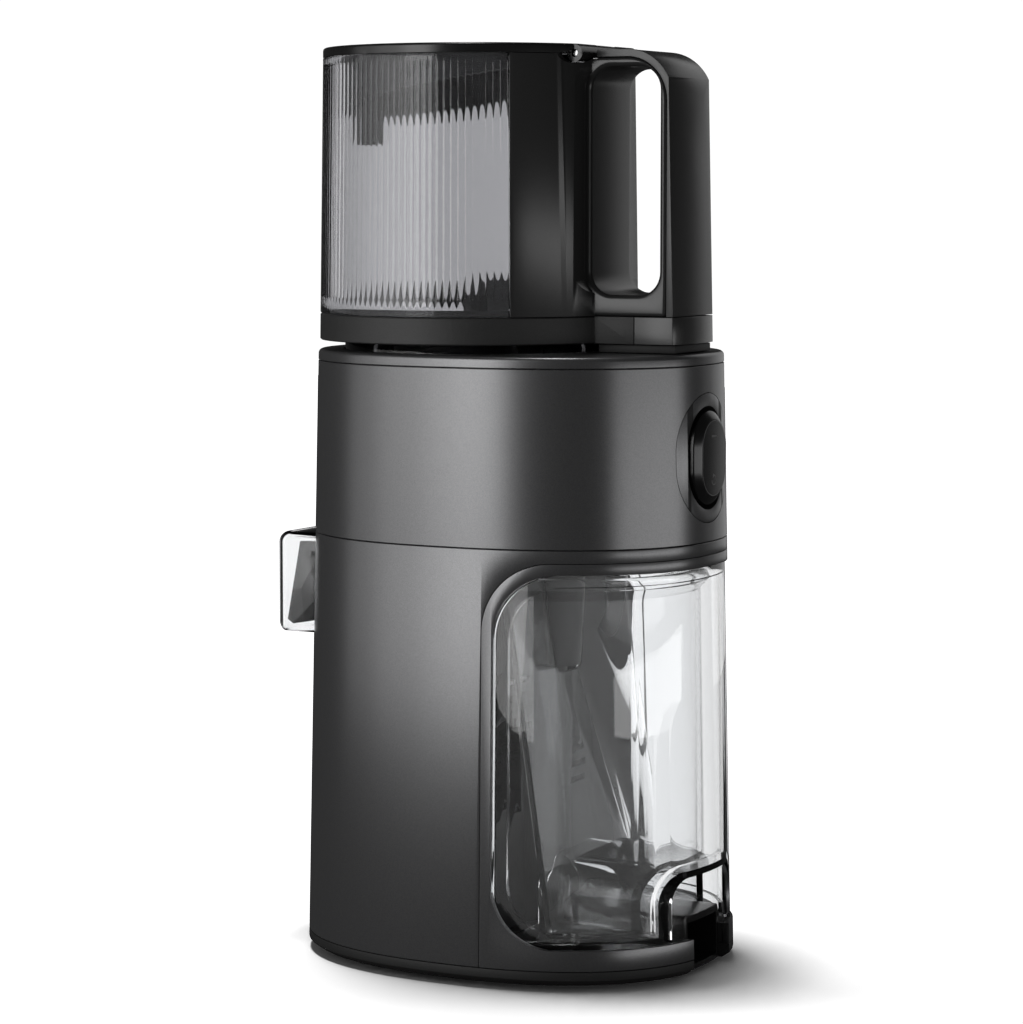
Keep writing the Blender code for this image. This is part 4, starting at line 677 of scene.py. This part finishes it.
def makeCover():
    low, high = span("container_cover", 2)
    front = span("container_cover", 1)[0]
    keys = ("inset", "wall", "bead", "beadWidth", "corner")
    outer, wall, bead, width, corner = (container[key] for key in keys)
    cover = oval("containerCover", [(low, outer), (high, outer)])
    keepInside(cover, archWay("coverShape", front, -far, high, corner))
    cavity = oval("coverInside", [(low + wall, outer + bead), (high + far / 10, outer + bead)])
    cutAway(cavity, tunnel("tunnelRoof", wall))
    cutAway(cover, cavity)
    panel = oval("coverPanel", [(low + width, outer + wall), (high, outer + wall)])
    keepInside(panel, archWay("panelShape", front + width, low + width, high - width, corner - width))
    cutAway(panel, tunnel("notchBead", width))
    cutAway(cover, panel)
    cutAway(cover, tunnel("fingerGap", 0))
    roundEdges(cover, container["coverEdge"], 2, 50)
    place(cover, "container_cover", clearPlastic)
    print("container cover ready")


def cupForm(name, inset, low, high):
    # the cup's oval, flared at its rim and cut off by a leaning front
    rim = container["cupTop"] - container["rimHeight"]
    middleRim = rim + container["rimHeight"] / 2
    flare = inset - container["rimFlare"]
    form = oval(name, [(low, inset), (rim, inset), (middleRim, flare), (high, flare)], steps=160)
    front = block(name + "Front", (-far, far), (0, far), (-far, far))
    front.rotation_euler.x = math.atan(container["slant"])
    shift = inset - container["cupInset"]
    front.location = (0, centreY + container["frontAtRim"] + shift, container["cupTop"])
    return keepInside(form, front)


def makeCup():
    low, high = span("pulp_cup", 2)
    wall = container["cupWall"]
    cup = cupForm("pulpCup", container["cupInset"], low, high)
    roundEdges(cup, container["cupRound"], 4, 60)
    cavity = cupForm("cupInside", container["cupInset"] + wall, low + wall, high + 3 * mm)
    cutAway(cavity, tunnel("cupTunnelRoof", container["wall"] + seamGap + wall))
    cutAway(cup, cavity)
    cutAway(cup, tunnel("cupTunnel", container["wall"] + seamGap))
    chuteX, chuteY = middle("pulp_chute", 0), middle("pulp_chute", 1)
    beside, below = container["chuteRoom"]
    half = span("pulp_chute", 0)[1] - chuteX + beside
    cutAway(cup, block("chuteWay", (chuteX - half, chuteX + half), (-far, chuteY + half),
                       (span("pulp_chute", 2)[0] - below, far), half * 0.5, "Y", "all", 8))
    roundEdges(cup, container["cupEdge"], 2, 50)
    place(cup, "pulp_cup", cupPlastic)
    print("pulp cup ready")


# spout

spout = {"wall": 2 * mm, "corner": 5 * mm, "soft": 1.2 * mm, "edge": 0.4 * mm, "flapEdge": 0.5 * mm}


def makeSpout():
    low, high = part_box("juice_spout")
    wall, corner = spout["wall"], spout["corner"]
    hood = block("juiceSpout", (low.x, high.x), (low.y, centreY), (low.z, high.z), corner, "Z", "front", 8)
    roundEdges(hood, spout["soft"], 3, 60)
    cutAway(hood, block("spoutInside", (low.x + wall, high.x - wall), (low.y + wall, far),
                        (-far, high.z - wall), corner - wall, "Z", "front", 8))
    cutAway(hood, oval("spoutSeat", [(-0.05, -seamGap), (0.25, -seamGap)]))
    roundEdges(hood, spout["edge"], 2, 60)
    place(hood, "juice_spout", cupPlastic)
    flap = copyOf("drip_stop_flap", "dripStopFlap")
    roundEdges(flap, spout["flapEdge"])
    place(flap, "drip_stop_flap", satinBlack)
    print("spout ready")


# hopper and lid

hopper = {"wall": 2.6 * mm, "ribs": 139, "ribDepth": 0.36 * mm, "ribSteps": 8, "ribLow": 7.5 * mm,
          "ribHigh": 3.5 * mm, "ribEnd": 0.5 * mm, "rim": 0.3 * mm, "windowEnd": 51, "partition": 3 * mm,
          "holeY": (45 * mm, 77.6 * mm), "holeZ": (296.4 * mm, 394 * mm), "holeCorner": 10 * mm,
          "holeRim": 2.4 * mm, "handleFront": 42 * mm, "handleCorner": 22 * mm, "strip": 3 * mm,
          "edge": 1.6 * mm, "shellEdge": 0.3 * mm, "coverEdge": 0.5 * mm, "barrelRoom": 4.3 * mm,
          "swingRoom": 6.1 * mm, "shellGap": 0.4 * mm}


def hopperRadius(z):
    return flangeRadius - hopperTaper * (z - flangeZ[0])


def sector(name, sideways=0.0):
    # the wedge behind the hopper that the black shell fills
    angle = math.radians(hopper["windowEnd"])
    selectNone()
    bpy.ops.mesh.primitive_cube_add(size=1, location=(0, 0, 0))
    wedge = bpy.context.object
    wedge.name = name
    for vertex in wedge.data.vertices:
        side = 1 if vertex.co.x > 0 else -1
        up = far if vertex.co.z > 0 else 0.1
        if vertex.co.y > 0:
            vertex.co = (side * math.sin(angle) * far, bowlY + sideways + math.cos(angle) * far, up)
        else:
            vertex.co = (side * 1e-5, bowlY + sideways, up)
    return wedge


def makeWindow():
    low, high = hopperZ
    steps = hopper["ribs"] * hopper["ribSteps"]

    def ribbed(angle, index):
        z, inset, depth = levels[index]
        across = (angle * hopper["ribs"] / math.tau) % 1 * 2 - 1
        valley = depth * (1 - math.sqrt(max(0, 1 - across * across)))
        radius = hopperRadius(z) - inset - valley
        return Vector((radius * math.cos(angle), bowlY + radius * math.sin(angle), z))

    wall, rim, end, depth = (hopper[key] for key in ("wall", "rim", "ribEnd", "ribDepth"))
    ribLow, ribHigh = low + hopper["ribLow"], high - hopper["ribHigh"]
    levels = [(low, rim, 0), (low + rim, 0, 0), (ribLow - end, 0, 0), (ribLow, 0, depth),
              (ribHigh, 0, depth), (ribHigh + end, 0, 0), (high - rim, 0, 0), (high, rim, 0),
              (high, wall, 0), (low, wall, 0)]
    window = stack("hopperWindow", len(levels), ribbed, steps, True)
    cutAway(window, sector("windowEnd"))
    place(window, "hopper_window", smokedPlastic, sharp=50)
    print("hopper window ready")


def spine(name, low, high, front, corner=0):
    # the handle's block, rounded to the body's oval at the rear
    piece = block(name, (-handleHalf, handleHalf), (centreY + front, far), (low, high))
    keepInside(piece, oval(name + "Plan", [(low - 0.01, handleInset), (high + 0.01, handleInset)]))
    if corner:
        rear = ovalPlace(math.pi / 2, high, handleInset).y
        keepInside(piece, block(name + "Corner", (-far, far), (-far, rear), (low - far, high), corner, "X",
                                "topRear", 20))
    return piece


def gripHole(name):
    # the hole for the fingers, flared where it meets the sides
    yLow, yHigh = (centreY + y for y in hopper["holeY"])
    zLow, zHigh = hopper["holeZ"]
    rim, half = hopper["holeRim"], handleHalf
    turns = [math.radians(15 * step) for step in range(7)]
    flare = [(half - rim + rim * math.sin(turn), rim * (1 - math.cos(turn))) for turn in turns]
    levels = [(-far, rim)] + [(-x, grow) for x, grow in reversed(flare)] + flare + [(far, rim)]
    corners = 4
    each = 12

    def onHole(angle, index):
        x, grow = levels[index]
        number = round((angle % math.tau) / math.tau * corners * each) % (corners * each)
        quarter, step = divmod(number, each)
        radius = hopper["holeCorner"] + grow
        y = yHigh - hopper["holeCorner"] if quarter in (0, 3) else yLow + hopper["holeCorner"]
        z = zHigh - hopper["holeCorner"] if quarter in (0, 1) else zLow + hopper["holeCorner"]
        turn = math.radians(90) * (quarter + step / (each - 1))
        return Vector((x, y + radius * math.cos(turn), z + radius * math.sin(turn)))

    return stack(name, len(levels), onHole, corners * each)


def underStrip(name, gap):
    # all that lies inside the strip over the handle's rear and top
    depth = hopper["strip"] + gap
    rear = ovalPlace(math.pi / 2, handleTop, handleInset).y
    return block(name, (-far, far), (-far, rear - depth), (-far, handleTop - depth),
                 hopper["handleCorner"] - depth, "X", "topRear", 20)


def makeHopperShell():
    low, high = hopperZ
    shell = ring("hopperShell", [(hopperRadius(low), low), (hopperRadius(high), high)])
    lift = spine("handleLoop", low, handleTop, hopper["handleFront"], hopper["handleCorner"])
    keepInside(lift, underStrip("stripSeat", seamGap))
    roundEdges(lift, hopper["edge"], 4, 50)
    joinWith(shell, lift)
    cavity = ring("shellInside", [(hopperRadius(low) - hopper["wall"], low - 0.01),
                                  (hopperRadius(high) - hopper["wall"], high + 0.01)])
    cavityRear = centreY + hopper["holeY"][0] - hopper["partition"]
    keepInside(cavity, block("cavityFront", (-far, far), (-far, cavityRear), (0, far)))
    cutAway(shell, cavity)
    keepInside(shell, sector("shellSector", hopper["shellGap"]))
    cutAway(shell, gripHole("gripHole"))
    cutAway(shell, block("lidSwing", (-far, far), (0, hingeY + hopper["swingRoom"]), (high, far)))
    barrel = rod("barrelWay", hopper["barrelRoom"], (-far, hingeY, hingeZ), (far, hingeY, hingeZ), 48)
    cutAway(shell, barrel)
    roundEdges(shell, hopper["shellEdge"], 2, 50)
    place(shell, "hopper_shell", handleBlack)

    front = span("handle_cover", 1)[0] - centreY
    cover = spine("handleCover", low, handleTop, front, hopper["handleCorner"])
    cutAway(cover, underStrip("stripInside", 0))
    roundEdges(cover, hopper["coverEdge"], 3, 50)
    place(cover, "handle_cover", handleBlack)
    print("hopper shell ready")


flange = {"soft": 0.5 * mm, "hole": 57.5 * mm, "edge": 0.35 * mm, "rearEdge": 0.9 * mm}


def makeFlange():
    low, high = flangeZ
    soft = flange["soft"]
    split = span("bowl_flange", 1)[1]
    plate = ring("bowlFlange", [(hopperRadius(low) - soft, low), (hopperRadius(low), low + soft),
                                (hopperRadius(high), high - soft), (hopperRadius(high) - soft, high)])
    joinWith(plate, spine("flangeSpine", low, high, 0))
    cutAway(plate, block("flangeSplit", (-far, far), (split, far), (0, far)))
    cutAway(plate, ring("flangeHole", [(flange["hole"], 0), (flange["hole"], far)]))
    roundEdges(plate, flange["edge"], 2, 50)
    place(plate, "bowl_flange", texturedBlack)
    rear = spine("flangeRearBlock", low, high, split + seamGap - centreY)
    roundEdges(rear, flange["rearEdge"], 3, 50)
    place(rear, "flange_rear_block", handleBlack)
    print("flange ready")


lid = {"soft": 1.4 * mm, "groove": (6.0 * mm, 6.4 * mm, 7.2 * mm, 7.6 * mm), "grooveDepth": 0.5 * mm,
       "relief": (3.5 * mm, 0.3 * mm), "barrel": 3.7 * mm, "pin": 1.7 * mm, "edge": 0.25 * mm}


def makeLid():
    low, high = hingeZ, span("lid", 2)[1]
    rim = hopperRadius(low)
    soft = lid["soft"]
    arc = [(rim - soft + soft * math.cos(turn), high - soft + soft * math.sin(turn))
           for turn in (math.radians(18 * step) for step in range(6))]
    depths = (0, lid["grooveDepth"], lid["grooveDepth"], 0)
    groove = [(rim - inset, high - depth) for inset, depth in zip(lid["groove"], depths)]
    plate = ring("lid", [(rim, low), *arc, *groove], steps=192)
    half = math.sqrt(rim ** 2 - (hingeY - bowlY) ** 2)
    before, above = lid["relief"]
    keepInside(plate, block("lidFront", (-far, far), (-far, hingeY), (0, far)))
    cutAway(plate, block("lidRelief", (-far, far), (hingeY - before, far), (0, low + above)))
    joinWith(plate, rod("hingeBarrel", lid["barrel"], (-half, hingeY, low), (half, hingeY, low), 48))
    cutAway(plate, rod("pinWay", lid["pin"], (-far, hingeY, low), (far, hingeY, low)))
    roundEdges(plate, lid["edge"], 2, 50)
    place(plate, "lid", satinBlack)
    print("lid ready")


# pieces that keep their CAD shape, with moulded edges

dressed = {
    innerBlack: ["bay_floor", "bay_wall", "chamber_deck", "pulp_chute", "hopper_floor", "lid_skirt",
                 "auger", "cutting_wing", "gearbox_housing", "power_inlet", "lock_ledge"],
    satinBlack: ["inlet_housing"],
    softRubber: ["foot_front_left", "foot_front_right", "foot_rear_left", "foot_rear_right",
                 "bowl_seal"],
    brightSteel: ["base_screw_1", "base_screw_2", "base_screw_3", "base_screw_4", "motor_rotor",
                  "motor_pinion", "output_gear", "drive_shaft", "strainer", "lid_hinge_pin"],
    zincPlate: ["motor_can", "gearbox_lid"],
    palePlastic: ["cooling_fan", "compound_gear"],
    boardGreen: ["control_board"],
    smokedPlastic: ["juicing_bowl"],
}
leftSharp = ("motor_pinion", "output_gear", "compound_gear", "strainer", "auger")


def camel(node):
    first, *rest = node.split("_")
    return first + "".join(word.capitalize() for word in rest)


def dressNodes():
    for material, nodes in dressed.items():
        for node in nodes:
            piece = copyOf(node, camel(node))
            if node not in leftSharp:
                roundEdges(piece, 0.3 * mm, 2, 40)
            place(piece, node, material)
    print("inner pieces ready")


# studio

studio = {"azimuth": 118, "elevation": 5.482, "distance": 1.5, "aimHeight": 198.25 * mm,
          "aside": -3.79 * mm, "lens": 118.08, "backdrop": 1.05, "ambient": 0.03, "floor": 8,
          "lampDistance": 1.25,
          # name, azimuth, height, (width, height) and watts of each upright lamp
          "lamps": [("mainSoftbox", -17, 0.56, (0.50, 1.12), 6.8),
                    ("sideSoftbox", -40, 0.56, (0.52, 1.12), 3.4),
                    ("frontSoftbox", -62, 0.56, (0.46, 1.12), 1.4),
                    ("rearSoftbox", 90, 0.13, (1.60, 0.24), 3.4),
                    ("farSoftbox", 172, 0.56, (0.80, 1.12), 1.6)],
          "overhead": ("overheadSoftbox", 250, 3.0, 0.34, (0.5, 0.5), 23)}


def direction(azimuth, elevation=0.0):
    turn, rise = math.radians(azimuth), math.radians(elevation)
    return Vector((math.cos(turn) * math.cos(rise), math.sin(turn) * math.cos(rise), math.sin(rise)))


def makeCamera():
    back = direction(studio["azimuth"] - 90, studio["elevation"])
    rightward = direction(studio["azimuth"])
    aim = Vector((0, centreY, studio["aimHeight"])) + rightward * studio["aside"]
    selectNone()
    bpy.ops.object.camera_add(location=aim + back * studio["distance"],
                              rotation=(-back).to_track_quat("-Z", "Y").to_euler())
    camera = bpy.context.object
    camera.name = "studioCamera"
    camera.data.lens = studio["lens"]
    camera.data.sensor_width = 36
    bpy.context.scene.camera = camera


def softbox(name, azimuth, z, distance, size, power):
    # an upright sheet of light that faces the juicer
    spot = direction(azimuth) * distance + Vector((0, centreY, z))
    facing = (-direction(azimuth)).to_track_quat("-Z", "Y").to_euler()
    selectNone()
    bpy.ops.object.light_add(type="AREA", location=spot, rotation=facing)
    lamp = bpy.context.object
    lamp.name = name
    lamp.data.shape = "RECTANGLE"
    lamp.data.size, lamp.data.size_y = size
    lamp.data.energy = power
    return lamp


def makeFloor():
    selectNone()
    bpy.ops.mesh.primitive_plane_add(size=studio["floor"], location=(0, 0, 0))
    floor = bpy.context.object
    floor.name = "studioFloor"
    floor.is_shadow_catcher = True
    floor.visible_glossy = False
    floor.visible_transmission = False
    paint = bpy.data.materials.new("floorPaint")
    paint.use_nodes = True
    paint.node_tree.nodes["Principled BSDF"].inputs["Base Color"].default_value = (0.85, 0.85, 0.85, 1)
    paint.node_tree.nodes["Principled BSDF"].inputs["Roughness"].default_value = 0.9
    floor.data.materials.append(paint)
    return floor


def makeWorld():
    # white behind the juicer, dim in what it reflects
    world = bpy.data.worlds.new("studioWorld")
    bpy.context.scene.world = world
    world.use_nodes = True
    tree = world.node_tree
    back = tree.nodes["Background"]
    back.inputs["Color"].default_value = (1, 1, 1, 1)
    light = addNode(tree, "ShaderNodeLightPath")
    direct = math2(tree, "LESS_THAN", light.outputs["Glossy Depth"], 1.5)
    through = math2(tree, "MULTIPLY", light.outputs["Is Transmission Ray"], direct)
    seen = math2(tree, "MAXIMUM", light.outputs["Is Camera Ray"], through)
    bright = math2(tree, "MULTIPLY", seen, studio["backdrop"] - studio["ambient"])
    tree.links.new(math2(tree, "ADD", bright, studio["ambient"]), back.inputs["Strength"])


def makeStudio():
    makeCamera()
    floor = makeFloor()
    lamps = [softbox(name, azimuth, z, studio["lampDistance"], size, power)
             for name, azimuth, z, size, power in studio["lamps"]]
    lamps[-1].visible_transmission = False  # not seen through the clear parts
    overhead = softbox(*studio["overhead"])
    downward = Vector((0, centreY, 0)) - overhead.location
    overhead.rotation_euler = downward.to_track_quat("-Z", "Y").to_euler()
    sides = bpy.data.collections.new("litBySides")
    sides.objects.link(floor)
    sides.collection_objects[0].light_linking.link_state = "EXCLUDE"
    for lamp in lamps:
        lamp.light_linking.receiver_collection = sides
    makeWorld()
    bpy.context.scene.view_settings.view_transform = "Standard"
    print("studio ready")


makeStudio()
makeHousings()
makeWindowFrame()
makeSwitch()
makeCover()
makeCup()
makeSpout()
makeWindow()
makeHopperShell()
makeFlange()
makeLid()
dressNodes()
